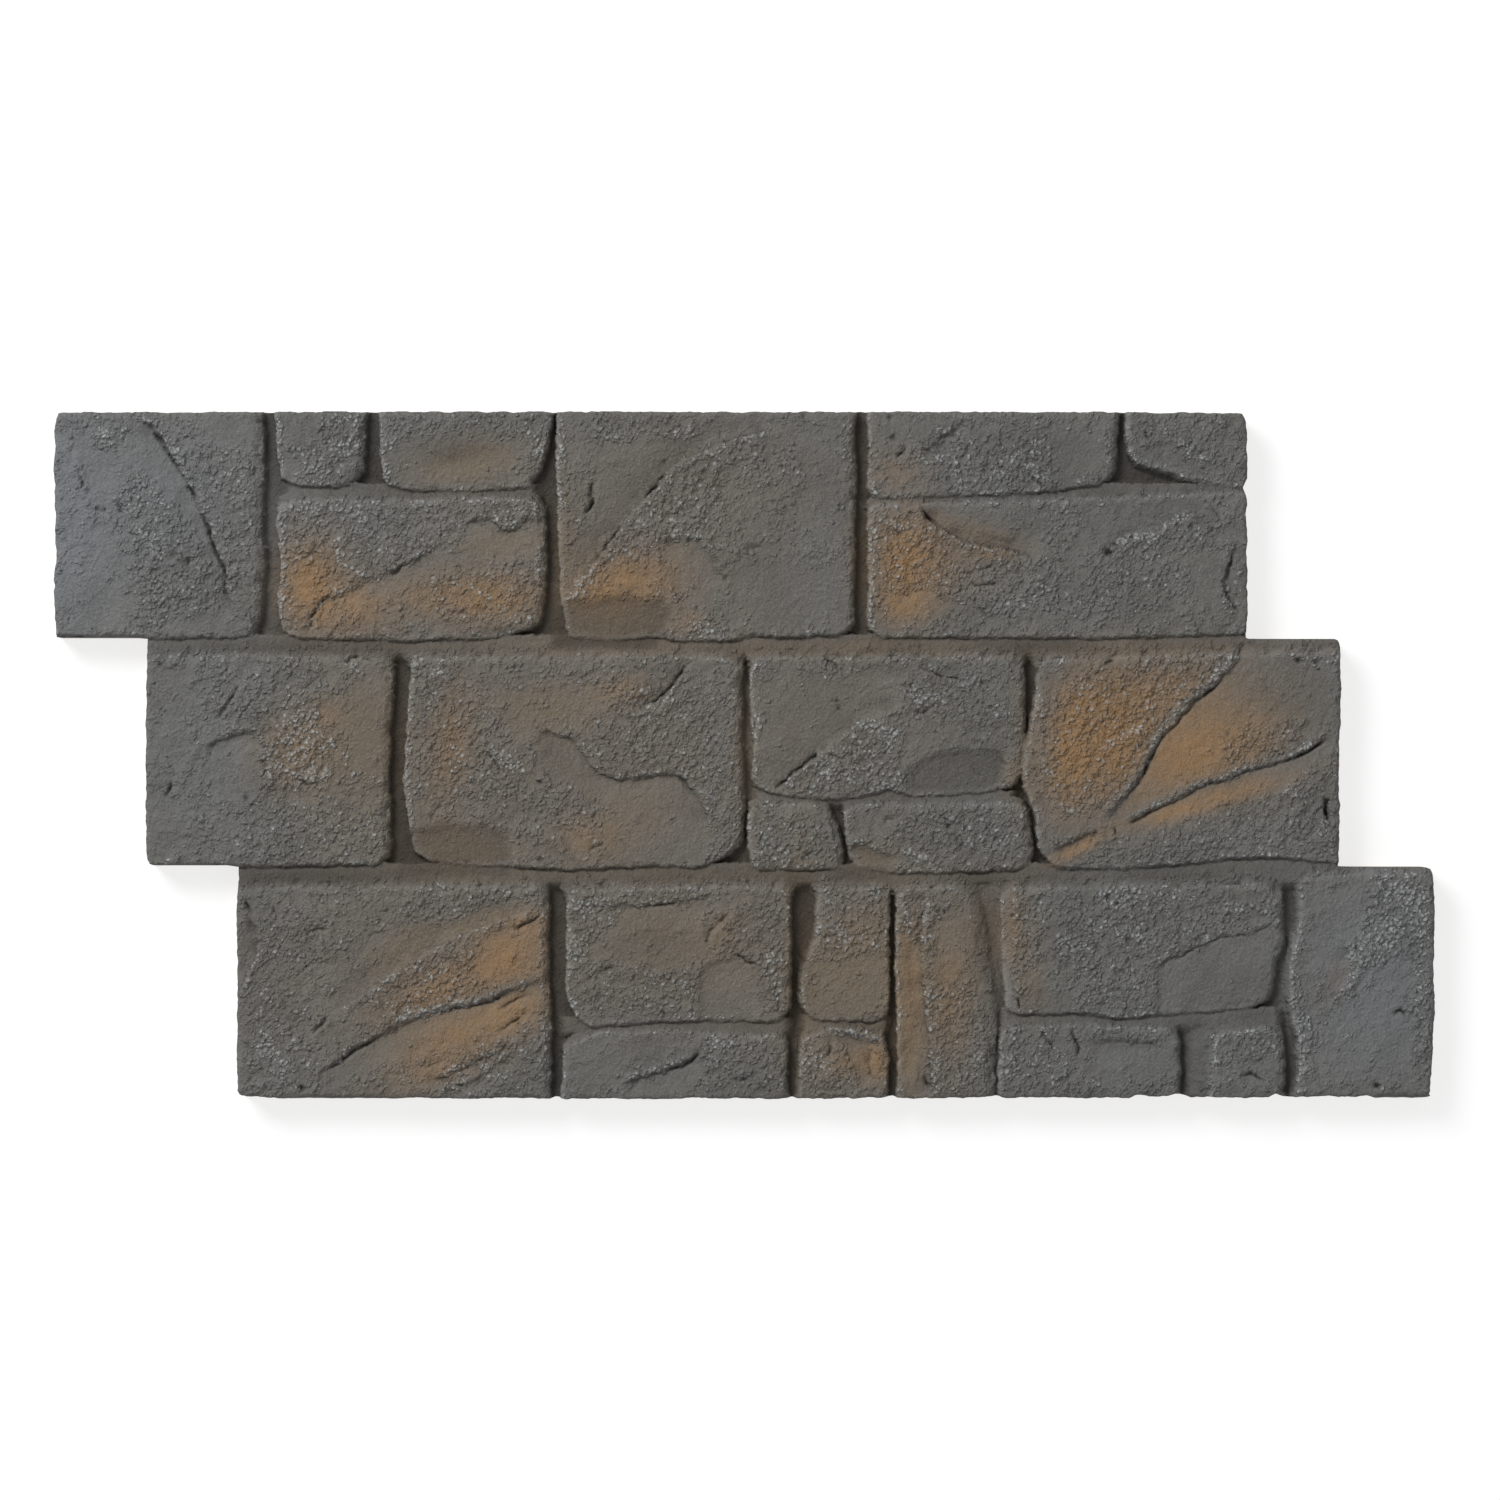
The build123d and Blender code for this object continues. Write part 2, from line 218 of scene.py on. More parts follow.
# How far the carved depths are stretched against the drawn ones
split_cut = 1.3
lip_rise = 1.6
crack_cut = 1.5


def split(path, drop, run, low, lip=0.25, sleek=0.85, wall=2.0, fade=0.14):
    """A split bed: a smooth plane that dips to the path from its low side, under a broken edge."""
    here = near(path, run + 8)
    x = carved_x[here] + 1.5 * rolling(plan_x[here], plan_y[here], 9, 71)
    y = carved_y[here] + 1.5 * rolling(plan_x[here], plan_y[here], 9, 72)
    distance, away_x, away_y, run_x, run_y, share, eased = along(path, x, y)
    low_x, low_y = sides[low]
    facing = np.where(low_x * -run_y + low_y * run_x > 0, 1.0, -1.0)
    side = distance * np.where((away_x * -run_y + away_y * run_x) * facing > 0, 1.0, -1.0)
    past_end = (share < 0.001) | (share > 0.999)
    strength = np.where(past_end, 0.0, tapered(share, fade))
    plane = np.clip(1 - np.maximum(eased, 0) / run, 0, 1) ** 2.2
    edge = np.clip(1 + side / wall, 0, 1) ** 1.2
    shape = np.where(side > 0, plane, edge)
    uneven = 1 + 0.35 * rolling(x, y, 16, 23)
    face_relief[here] -= split_cut * drop * shape * strength * uneven
    face_relief[here] += lip_rise * lip * np.exp(-((side + 4.5) / 3.0) ** 2) * strength
    smoothed = sleek * strength * np.where(side > 1.5, ease(1.6 * (1 - side / run)), 0)
    ruggedness[here] *= 1 - smoothed
    broken = np.exp(-((side + 6) / 6.0) ** 2) * strength
    ruggedness[here] += 0.35 * broken
    frost_and_highlight[here] += 0.40 * np.exp(-((side + 3.5) / 3.5) ** 2) * strength


def crack(path, width, depth, fade=0.3):
    """A narrow crack, thin at both ends."""
    here = near(path, width + 4)
    x, y = carved_x[here], carved_y[here]
    distance, _, _, _, _, share, _ = along(path, x, y)
    strength = tapered(share, fade) * np.clip(0.95 + 0.6 * rolling(x, y, 9, 24), 0.3, 1.2)
    gape = np.clip(1 - distance / (0.95 * width), 0, 1) ** 1.2
    face_relief[here] -= crack_cut * depth * strength * gape


def shelf(left, right, top, bottom, height):
    """A bed of mortar along the foot of some stones, where the joint isn't raked out deep."""
    x, y = carved_x, carved_y
    across = ease((x - left) / 14 + 0.3) * ease((right - x) / 14 + 0.3)
    down = ease((y - top) / 2 + 1) * ease((bottom - y) / 13 + 0.5)
    surface[:] = np.maximum(surface, joint_floor + (height - joint_floor) * across * down)
    bed_share[:] = np.maximum(bed_share, across * down)


def ridge(path, width, height, fade=0.25):
    """A low raised line, such as the edge of a thin broken layer."""
    here = near(path, 3 * width)
    distance, _, _, _, _, share, _ = along(path, carved_x[here], carved_y[here])
    face_relief[here] += height * tapered(share, fade) * np.exp(-((distance / width) ** 2))


def scooped(outline, depth, blur, darker):
    """A patch that broke out as one smooth scoop, painted darker inside with dark wash and painted shade.
    """
    here = near(outline, blur)
    patch = soft_inside(outline, carved_x[here], carved_y[here], blur)
    face_relief[here] -= depth * patch
    ruggedness[here] *= 1 - 0.8 * patch
    stain_and_shade[here] = np.maximum(stain_and_shade[here], darker * patch)


def oval(here, centre, reach, turn):
    """How far out each point lies in an oval, squared. Reach is its half length and half width."""
    x, y = carved_x[here] - centre[0], carved_y[here] - centre[1]
    slant = math.radians(turn)
    across = (x * math.cos(slant) + y * math.sin(slant)) / reach[0]
    down = (y * math.cos(slant) - x * math.sin(slant)) / reach[1]
    return across ** 2 + down ** 2


def hollow(centre, reach, turn, depth, sleek=0.7):
    """An oval hollow, smooth inside."""
    here = near([centre], max(reach) + 6)
    bowl = ease(1 - np.sqrt(oval(here, centre, reach, turn)))
    face_relief[here] -= depth * bowl
    ruggedness[here] *= 1 - sleek * ease(3 * bowl)


def pit(centre, reach, depth):
    """A small deep hole with a torn rim, painted darker in and around it as shade in the hole."""
    hollow(centre, (1.25 * reach, 1.25 * reach), 0, 1.5 * depth, 0.0)
    here = near([centre], 3 * reach)
    distance = np.hypot(carved_x[here] - centre[0], carved_y[here] - centre[1])
    stain_and_shade[here] = np.maximum(stain_and_shade[here], 0.9 * np.clip(1.3 - distance / reach, 0, 1))


def torn_patch(outline, blur):
    """A patch with a torn outline: where it lies, and how much of it each point there takes."""
    here = near(outline, blur + 8)
    return here, soft_inside(outline, torn_x[here], torn_y[here], blur)


def worn(outline, amount, blur=14.0):
    """A patch where the stone is worn smooth."""
    here, patch = torn_patch(outline, blur)
    ruggedness[here] *= 1 - 0.8 * amount * patch


def rough(outline, amount, blur=14.0):
    """A patch where the stone is broken rough."""
    here, patch = torn_patch(outline, blur)
    ruggedness[here] += amount * patch
    frost_and_highlight[here] += 0.35 * amount * patch


def soft_line(path, reach):
    """A line with soft sides: where it lies, and how much of it each point there takes."""
    here = near(path, 2.2 * reach)
    distance = along(path, carved_x[here], carved_y[here])[0]
    return here, np.exp(-((distance / reach) ** 2))


def frosted(path, reach, strength):
    """Pale paint dry-brushed over a line or clump of broken grains."""
    here, line = soft_line(path, reach)
    frost_and_highlight[here] += strength * line
    ruggedness[here] += 0.35 * (strength * line)


def brushed(colour, centre, reach, strength, turn=0):
    """A soft oval of sprayed or brushed colour. Turn is its slant."""
    here = near([centre], 1.6 * max(reach))
    patch = strength * np.exp(-1.6 * oval(here, centre, reach, turn))
    colour[here] = 1 - (1 - colour[here]) * (1 - np.clip(patch, 0, 1))


def greyed(path, reach, amount):
    """A line that the ochre and brown left grey."""
    here, line = soft_line(path, reach)
    kept = 1 - amount * line
    ochre[here] *= kept
    brown[here] *= kept


def rounded(outline, radius):
    """The outline with its corners cut round."""
    points = []
    for index, point in enumerate(outline):
        before, after = outline[index - 1], outline[(index + 1) % len(outline)]
        ends = []
        for other in (before, after):
            reach = min(radius, 0.45 * math.dist(point, other))
            share = reach / math.dist(point, other)
            ends.append(tuple(a + (b - a) * share for a, b in zip(point, other)))
        for share in (0.0, 0.33, 0.67, 1.0):
            first, middle, last = (1 - share) ** 2, 2 * share * (1 - share), share ** 2
            points.append(tuple(
                a * first + b * middle + c * last for a, b, c in zip(ends[0], point, ends[1])
            ))
    return points


# How an arris is rounded and chipped, and how far the sides of a stone slope out to the joints
shoulder = 0.5
shoulder_reach = 3.2
chip_depth = 2.4
chip_reach = 8.0
usual_slopes = {"left": 1.6, "right": 9.0, "top": 18.0, "bottom": 2.4}
gentle_part = 0.65
gentle_fall = 0.28
corner_radius = 7.0
ledge_height = 33.4
outside = -99.0


def stone(outline, height, lean=(0.0, 0.0), **slopes):
    """One stone face, with its sides falling to the joints. Lean is the rise to its right and top.

    Its upper side falls only to a ledge, which carries the course or stone above it.
    """
    widths = {**usual_slopes, **slopes}
    outline = rounded(outline, corner_radius)
    here = near(outline, max(widths.values()) + 6)
    x, y = carved_x[here], carved_y[here]
    distance, away_x, away_y, _, _, _, _ = along(outline + outline[:1], x, y)
    within = inside(outline, x, y)
    middle_x = sum(px for px, _ in outline) / len(outline)
    middle_y = sum(py for _, py in outline) / len(outline)
    face = height + face_relief[here]
    face += lean[0] * (x - middle_x) / 100 - lean[1] * (y - middle_y) / 100
    near_edge = np.where(within, np.clip(1 - distance / shoulder_reach, 0, 1) ** 2, 1)
    chipped = np.where(within, np.clip(1 - distance / chip_reach, 0, 1) ** 1.5, 1)
    face = face - shoulder * near_edge - chip_depth * chips[here] * chipped
    way_x, way_y = away_x / np.maximum(distance, 0.01), away_y / np.maximum(distance, 0.01)
    width_x = np.where(way_x < 0, widths["left"], widths["right"])
    width_y = np.where(way_y < 0, widths["top"], widths["bottom"])
    width = np.sqrt((way_x * width_x) ** 2 + (way_y * width_y) ** 2) + 0.01
    gone = distance / width
    steep = 0.25 * ease(gone) + 0.75 * gone
    gentle = np.where(
        gone < gentle_part,
        gone / gentle_part * gentle_fall,
        gentle_fall + (1 - gentle_fall) * (gone - gentle_part) / (1 - gentle_part),
    )
    fall = steep + (gentle - steep) * np.clip(way_x, 0, 1) ** 2
    foot = surface[here] + np.maximum(0, ledge_height - surface[here]) * np.clip(-way_y, 0, 1) ** 2
    fallen = face - (face - foot) * np.clip(fall, 0, 1)
    made = np.where(within, face, np.where(distance < width, fallen, outside))
    higher = made > surface[here]
    surface[here] = np.where(higher, made, surface[here])
    own_share = np.where(within, 1.0, np.clip(1 - distance / width, 0, 1))
    face_share[here] = np.maximum(face_share[here], own_share)
    strip_share[here] = np.where(higher & ~within & (way_y < -0.7), 1.0, strip_share[here] * ~higher)
    # A band under the lower edge of the stone, cut in as a groove and later given a painted shadow
    below = np.exp(-((distance - 2.2) / 1.8) ** 2) * np.clip(way_y, 0, 1) ** 2
    under_edge[here] = np.where(within, 0.0, np.maximum(under_edge[here], below))
    # The arrises on the left and top of the stone face the lamp, so they get a painted highlight
    lit_side = np.clip(way_x, 0, 1) + 0.55 * np.clip(way_y, 0, 1) + 0.30 * np.clip(-way_y, 0, 1)
    catching = np.exp(-((distance - 1.2) / 2.6) ** 2) * (0.15 + 0.85 * np.clip(lit_side, 0, 1))
    rim_light[here] = np.where(within, catching, rim_light[here])


# The beds of mortar that the stones lie on. They are filled up nearly to the faces, while the upright
# joints between the stones are raked out deep, so that each course casts a thin shadow on its bed.
for bed in [
    (40, 1360, 635, 658, 33.4), (130, 1450, 864, 887, 33.4), (1190, 1370, 856, 880, 33.4),
    (284, 540, 484, 500, 33.4), (876, 1262, 484, 503, 33.4), (754, 1018, 790, 806, 33.8),
    (560, 793, 1018, 1036, 33.4), (800, 890, 1016, 1034, 33.0), (998, 1284, 1008, 1030, 33.4),
    (960, 1008, 884, 1014, 30.6), (1186, 1222, 1020, 1112, 30.8),
]:
    shelf(*bed)

# The upper course. Eight stones: a tall one at each side of two small ones over a long one, and two
# flat ones over the longest. The left end was sprayed bluish, and ochre lies on the lower corners.

# The tall stone at the left end, with one long split down its middle
split([(137, 405), (145, 421), (152, 428), (165, 447), (175, 462), (182, 476), (193, 493), (200, 512),
       (209, 528), (216, 552), (224, 570), (226, 593), (232, 612), (241, 623)], 3.0, 32, "left", sleek=0.8)
crack([(148, 424), (158, 437), (166, 448), (175, 462), (183, 478)], 3.8, 4.4)
crack([(185, 482), (193, 493), (199, 505)], 3.2, 3.0)
crack([(198, 506), (209, 528), (216, 552), (224, 570), (226, 593), (231, 610)], 3.8, 5.0)
hollow((104, 602), (26, 34), 0, 2.4)
hollow((102, 472), (24, 26), 20, 1.6)
ridge([(72, 445), (78, 462), (84, 480), (86, 497)], 3.0, 1.4)
crack([(78, 470), (83, 484), (80, 494)], 3.0, 2.2)
crack([(94, 506), (101, 512), (108, 509)], 3.0, 2.4)
crack([(116, 502), (121, 507), (122, 515)], 3.0, 2.4)
pit((173, 555), 5.0, 2.0)
pit((188, 562), 4.5, 1.8)
ridge([(176, 622), (188, 614), (200, 612), (212, 614)], 2.5, 1.2)
worn([(130, 415), (150, 428), (170, 462), (190, 497), (205, 530), (200, 545), (188, 515), (165, 485),
      (140, 470), (120, 455)], 0.8)
worn([(85, 450), (125, 452), (125, 490), (95, 497), (86, 480)], 0.8)
worn([(60, 520), (105, 530), (128, 570), (126, 592), (116, 632), (62, 632)], 0.45)
worn([(190, 415), (255, 415), (255, 448), (215, 442)], 0.8)
worn([(175, 616), (240, 616), (240, 636), (175, 636)], 0.7)
rough([(128, 470), (165, 495), (200, 530), (216, 570), (222, 610), (135, 625), (132, 590), (130, 555),
       (115, 505)], 0.55)
rough([(170, 450), (195, 445), (250, 455), (253, 580), (235, 585), (225, 555), (205, 500)], 0.45)
rough([(88, 415), (125, 425), (125, 445), (100, 448)], 0.35)
frosted([(97, 420), (105, 441)], 5, 0.5)
frosted([(106, 433), (126, 428)], 5, 0.4)
frosted([(120, 472), (158, 498)], 9, 0.35)
frosted([(173, 448), (180, 458)], 3, 1.0)
frosted([(145, 415), (149, 423)], 3, 0.8)
stone([(40, 395), (257, 395), (257, 470), (255, 520), (258, 560), (255, 612), (251, 634), (225, 637),
       (137, 637), (40, 635)], 35.8, (0.2, 0.3))

# A small stone, broken rough on its right
worn([(281, 415), (316, 415), (316, 440), (284, 444)], 0.6)
worn([(281, 460), (302, 460), (302, 482), (284, 480)], 0.6)
rough([(322, 415), (358, 415), (358, 445), (352, 470), (325, 484), (300, 480), (300, 462), (290, 458),
       (290, 446), (325, 442)], 0.5)
frosted([(278, 418), (279, 440), (279, 462)], 3.5, 0.9)
frosted([(332, 422), (345, 416), (357, 426), (356, 440), (340, 446)], 5, 0.45)
frosted([(292, 452), (330, 455), (358, 450)], 6, 0.35)
frosted([(302, 465), (324, 478)], 7, 0.4)
stone([(275, 395), (361, 395), (360, 430), (358, 468), (350, 483), (330, 486), (292, 485), (281, 476),
       (276, 450)], 36.0, right=9)

# A wider small stone with a shallow hollow
worn([(400, 440), (470, 430), (520, 440), (515, 482), (405, 484)], 0.65)
rough([(383, 415), (485, 415), (470, 430), (385, 440)], 0.3)
rough([(485, 415), (548, 415), (545, 470), (530, 474), (520, 440), (490, 440)], 0.4)
hollow((462, 462), (62, 20), -8, 1.4)
frosted([(382, 438), (384, 462), (386, 484)], 3.5, 0.9)
frosted([(388, 452), (410, 464)], 6, 0.45)
frosted([(488, 430), (500, 440)], 6, 0.3)
frosted([(515, 428), (545, 432), (542, 455)], 6, 0.35)
brushed(brown, (468, 462), (66, 28), 0.7, -8)
stone([(379, 395), (552, 395), (549, 430), (543, 456), (537, 474), (526, 487), (470, 490), (400, 489),
       (383, 482), (380, 450)], 35.4, (-0.2, 0.0), right=5)

# The long stone under these two, ochre at its left end
split([(300, 642), (306, 634), (313, 618), (320, 604), (335, 598), (350, 590), (365, 580), (380, 578),
       (398, 568), (412, 562), (426, 553), (442, 547), (458, 539)], 1.1, 24, "below", sleek=0.45)
crack([(305, 635), (312, 620), (318, 606), (326, 598), (340, 596)], 3.0, 2.6)
ridge([(313, 636), (318, 620), (324, 607)], 2.2, 1.2)
crack([(391, 576), (398, 570), (406, 562)], 3.0, 2.6)
split([(463, 520), (480, 522), (490, 518), (500, 528), (515, 530), (532, 512)], 1.5, 24, "below", sleek=0.7)
rough([(285, 508), (455, 505), (460, 535), (400, 560), (350, 580), (290, 560)], 0.45)
rough([(455, 498), (540, 500), (538, 515), (515, 528), (500, 524), (488, 514), (462, 518)], 0.5)
rough([(430, 575), (535, 560), (537, 612), (430, 622)], 0.35)
rough([(290, 600), (330, 600), (400, 625), (390, 636), (290, 634)], 0.25)
worn([(462, 530), (500, 536), (538, 528), (538, 556), (460, 556)], 0.6)
hollow((500, 634), (50, 10), -6, 2.6, 0.2)
for spray in [
    ((310, 585), (42, 54), 0.85), ((352, 608), (48, 32), 0.55), ((488, 598), (68, 30), 0.70),
    ((425, 596), (50, 26), 0.30),
]:
    brushed(ochre, *spray)
brushed(brown, (500, 543), (55, 18), 0.45)
for line in [
    ([(292, 507), (325, 508), (363, 512)], 5, 0.6), ([(332, 545), (345, 562), (364, 575)], 3.5, 0.55),
    ([(500, 512), (520, 510), (540, 514)], 5, 0.5), ([(282, 528), (283, 565), (281, 602)], 3.5, 0.9),
    ([(498, 621), (520, 622), (538, 618)], 4, 0.5), ([(539, 545), (540, 575), (539, 600)], 4, 0.4),
]:
    frosted(*line)
stone([(280, 503), (300, 499), (380, 501), (460, 498), (530, 499), (539, 506), (540, 560), (538, 610),
       (532, 628), (490, 637), (400, 640), (300, 638), (283, 632), (277, 600), (281, 560), (275, 520)],
      36.2, (0.1, 0.2), top=9)

# The tall stone in the middle, with a long curved split and a dark scoop out of its foot
crack([(599, 477), (592, 484), (590, 495), (592, 503), (587, 511), (584, 519)], 3.6, 4.4)
ridge([(600, 460), (612, 462), (630, 459)], 2.5, 1.1)
split([(792, 427), (775, 430), (760, 432), (735, 438), (710, 447), (690, 455), (675, 463), (667, 471),
       (662, 478), (652, 490), (640, 502), (632, 510), (625, 521), (615, 535), (605, 548), (595, 560),
       (585, 575), (575, 586), (563, 598)], 2.8, 32, "left", sleek=0.75, lip=0.6)
crack([(667, 471), (660, 480), (652, 490), (640, 502)], 2.4, 2.4)
crack([(625, 521), (615, 535), (605, 548), (590, 568)], 2.2, 2.0)
split([(655, 543), (672, 539), (690, 538), (700, 543), (706, 552), (716, 566), (726, 582)], 1.6, 32,
       "below", sleek=0.9)
pit((715, 560), 4.0, 2.0)
pit((725, 578), 4.0, 2.0)
crack([(741, 553), (752, 548), (765, 545)], 2.4, 1.2)
scooped([(550, 608), (575, 605), (600, 600), (625, 596), (645, 602), (664, 603), (674, 612), (667, 626),
         (655, 650), (550, 650)], 3.6, 14, 0.95)
ridge([(667, 580), (672, 592), (676, 604), (677, 612), (668, 624)], 2.8, 1.8)
worn([(603, 442), (665, 445), (640, 495), (600, 530), (597, 500)], 0.7)
worn([(800, 430), (840, 425), (842, 530), (800, 530)], 0.6)
worn([(668, 548), (700, 552), (722, 590), (715, 605), (672, 598)], 0.8)
worn([(735, 560), (845, 560), (845, 628), (735, 625)], 0.75)
rough([(640, 500), (662, 478), (690, 465), (720, 462), (722, 520), (690, 545), (640, 548), (612, 570),
       (600, 570)], 0.55)
rough([(700, 440), (765, 438), (765, 470), (720, 468)], 0.45)
rough([(660, 415), (705, 415), (700, 440), (655, 442)], 0.35)
rough([(590, 418), (645, 418), (640, 440), (592, 440)], 0.3)
rough([(680, 618), (720, 618), (720, 640), (672, 640)], 0.5)
brushed(ochre, (632, 582), (60, 38), 0.66, -8)
brushed(ochre, (598, 590), (36, 26), 0.45, -30)
brushed(ochre, (690, 622), (26, 16), 0.30)
brushed(brown, (612, 624), (60, 24), 0.85)
for line in [
    ([(590, 570), (580, 588), (568, 600)], 6, 0.6), ([(665, 428), (690, 436)], 7, 0.4),
    ([(598, 428), (632, 436)], 6, 0.3), ([(785, 466), (806, 484)], 7, 0.45),
    ([(800, 534), (825, 556)], 8, 0.45), ([(843, 425), (847, 472)], 6, 0.4),
    ([(669, 585), (675, 600), (676, 614)], 3, 0.9), ([(692, 624), (712, 634)], 7, 0.5),
    ([(561, 422), (562, 446)], 4, 0.9), ([(560, 455), (561, 467)], 4, 0.7),
    ([(560, 483), (560, 503)], 4, 0.9),
]:
    frosted(*line)
stone([(558, 395), (852, 395), (849, 440), (852, 480), (850, 520), (851, 560), (849, 600), (850, 628),
       (838, 635), (780, 636), (752, 634), (735, 639), (686, 641), (657, 636), (600, 640), (568, 636),
       (561, 600), (558, 520), (556, 460)], 36.4, (0.0, 0.2), right=7)

# The first of the two flat stones, broken rough in its middle
crack([(907, 446), (901, 453), (895, 460)], 2.4, 2.8)
pit((890, 417), 4.0, 2.4)
pit((893, 438), 3.6, 2.0)
split([(966, 420), (955, 428), (940, 438), (934, 446), (918, 452)], 1.9, 18, "right", sleek=0.3)
crack([(1025, 470), (1036, 480), (1048, 490)], 2.6, 2.4)
hollow((1078, 450), (34, 22), 20, 1.4)
worn([(872, 415), (945, 415), (925, 435), (880, 440)], 0.5)
worn([(1050, 428), (1100, 428), (1104, 474), (1052, 474)], 0.75)
rough([(935, 440), (1045, 438), (1050, 490), (1000, 493), (930, 485)], 0.5)
rough([(990, 418), (1048, 420), (1048, 438), (1000, 440)], 0.25)
brushed(ochre, (895, 470), (40, 24), 0.25)
for line in [
    ([(917, 459), (929, 462)], 4, 0.9), ([(941, 456), (951, 459)], 4, 0.8),
    ([(995, 469), (1005, 472)], 4, 0.6), ([(1015, 457), (1035, 452), (1041, 441)], 5, 0.7),
    ([(1030, 468), (1048, 477)], 6, 0.7), ([(1086, 427), (1105, 441)], 6, 0.45),
]:
    frosted(*line)
stone([(867, 395), (1114, 395), (1112, 440), (1109, 474), (1100, 484), (1046, 491), (1002, 494), (930, 495),
       (876, 498), (867, 490), (869, 450)], 35.9, (0.1, 0.2))

# The second, at the right end, whose lower side slants
crack([(1145, 429), (1147, 435), (1148, 442)], 2.2, 2.4)
rough([(1135, 415), (1245, 415), (1245, 465), (1180, 460), (1135, 450)], 0.25)
worn([(1130, 440), (1180, 450), (1220, 470), (1180, 472), (1135, 460)], 0.4)
hollow((1236, 418), (14, 9), 20, 1.6, 0.2)
frosted([(1186, 444), (1204, 460)], 7, 0.45)
frosted([(1131, 460), (1148, 463), (1165, 467)], 3, 0.8)
stone([(1126, 395), (1262, 395), (1262, 486), (1247, 487), (1216, 484), (1182, 477), (1160, 468),
       (1138, 462), (1128, 454), (1126, 430)], 35.6, (0.2, 0.4), bottom=8)

# The longest stone of the course, with a deep split that runs from its upper edge
split([(884, 528), (896, 531), (909, 529)], 1.8, 14, "below", sleek=0.2)
pit((911, 513), 3.2, 1.8)
split([(916, 503), (924, 512), (932, 521), (942, 529), (955, 537), (965, 542), (980, 545), (1000, 547),
       (1015, 550), (1028, 557), (1040, 562)], 3.4, 34, "above", sleek=0.9, lip=0.4)
crack([(920, 508), (931, 519), (941, 528)], 3.0, 3.4)
ridge([(978, 529), (998, 534), (1016, 539)], 3.0, 0.9)
crack([(967, 586), (980, 586), (992, 584), (1003, 579)], 2.4, 2.0)
crack([(955, 575), (970, 572), (985, 568), (1001, 562)], 2.0, 1.1)
crack([(973, 602), (981, 609), (990, 618)], 2.4, 1.4)
split([(1112, 541), (1134, 536), (1147, 534), (1160, 529), (1175, 518), (1188, 514), (1210, 504)], 1.8, 30,
      "above", sleek=0.9)
pit((1109, 553), 4.6, 4.4)
pit((1115, 545), 3.5, 1.8)
crack([(1211, 506), (1216, 513), (1222, 519)], 2.2, 1.6)
pit((1190, 527), 3.5, 1.8)
pit((1213, 530), 3.5, 1.8)
split([(1238, 540), (1233, 553), (1228, 567), (1225, 585), (1230, 600), (1238, 612)], 1.8, 24, "right",
      sleek=0.3)
crack([(1234, 550), (1229, 565), (1227, 580)], 2.8, 2.6)
crack([(1223, 586), (1228, 597), (1233, 606), (1242, 615)], 2.8, 2.8)
worn([(945, 508), (1000, 508), (1030, 545), (985, 540), (950, 528)], 0.75)
worn([(880, 592), (930, 590), (935, 625), (880, 628)], 0.5)
worn([(1090, 505), (1195, 500), (1170, 520), (1110, 532), (1080, 530)], 0.6)
worn([(1192, 550), (1224, 552), (1222, 600), (1195, 600)], 0.7)
rough([(876, 512), (925, 520), (950, 545), (958, 582), (930, 590), (890, 600), (874, 585)], 0.5)
rough([(960, 560), (1050, 560), (1060, 605), (990, 612), (955, 600)], 0.45)
rough([(1120, 542), (1190, 525), (1220, 520), (1225, 545), (1190, 552), (1190, 600), (1090, 625),
       (1060, 600), (1100, 562)], 0.3)
for spray in [
    ((905, 556), (40, 52), 0.90, -4), ((903, 604), (36, 28), 0.60), ((935, 560), (40, 50), 0.30),
    ((992, 553), (28, 9), 0.40),
]:
    brushed(ochre, *spray)
brushed(brown, (985, 536), (52, 18), 0.50, 14)
brushed(brown, (975, 570), (70, 40), 0.20)
for line in [
    ([(887, 525), (906, 527)], 3.5, 1.0), ([(872, 532), (874, 562)], 4, 1.0),
    ([(869, 588), (870, 630)], 4, 0.9),
    ([(1120, 538), (1145, 536), (1160, 531), (1175, 520), (1188, 516)], 4, 0.7),
    ([(1212, 524), (1218, 527)], 4, 0.6), ([(1238, 570), (1240, 598)], 5, 0.6),
    ([(1226, 606), (1240, 624)], 6, 0.6), ([(1056, 508), (1084, 514)], 6, 0.45),
]:
    frosted(*line)
stone([(868, 510), (875, 504), (915, 503), (980, 502), (1060, 500), (1130, 497), (1180, 494), (1262, 492),
       (1262, 632), (1165, 636), (1099, 637), (978, 637), (880, 636), (867, 628), (869, 580), (868, 540)],
      36.0, (-0.1, 0.1), top=9)

# The middle course. Six stones: a square one, a long one, one over two small ones, and a long one
# with two deep splits across it. The upper side of each slopes down to the bed under the course above.

# The square stone at the left end, with a clump of broken grains in its right half
hollow((250, 665), (11, 11), 0, 2.2, 0.9)
pit((160, 665), 4.0, 1.8)
crack([(243, 679), (235, 690), (230, 700), (222, 712), (213, 725)], 2.6, 2.2)
ridge([(247, 684), (240, 694), (235, 704), (227, 716)], 2.5, 1.0)
crack([(173, 780), (170, 792), (165, 799)], 2.6, 2.8)
ridge([(226, 734), (200, 745), (186, 765), (178, 781)], 3.0, 1.0)
ridge([(208, 764), (200, 776), (192, 791)], 2.6, 0.8)
crack([(215, 741), (211, 750), (208, 761)], 2.2, 1.2)
split([(206, 750), (215, 743), (235, 734), (250, 732), (260, 742)], 1.6, 40, "below", sleek=0.85)
split([(188, 836), (178, 848), (160, 864)], 1.3, 20, "left", sleek=0.5)
crack([(261, 758), (267, 768), (261, 777)], 2.4, 2.0)
crack([(295, 778), (308, 786), (323, 781)], 2.6, 2.6)
pit((265, 748), 3.5, 2.2)
pit((246, 798), 4.0, 2.2)
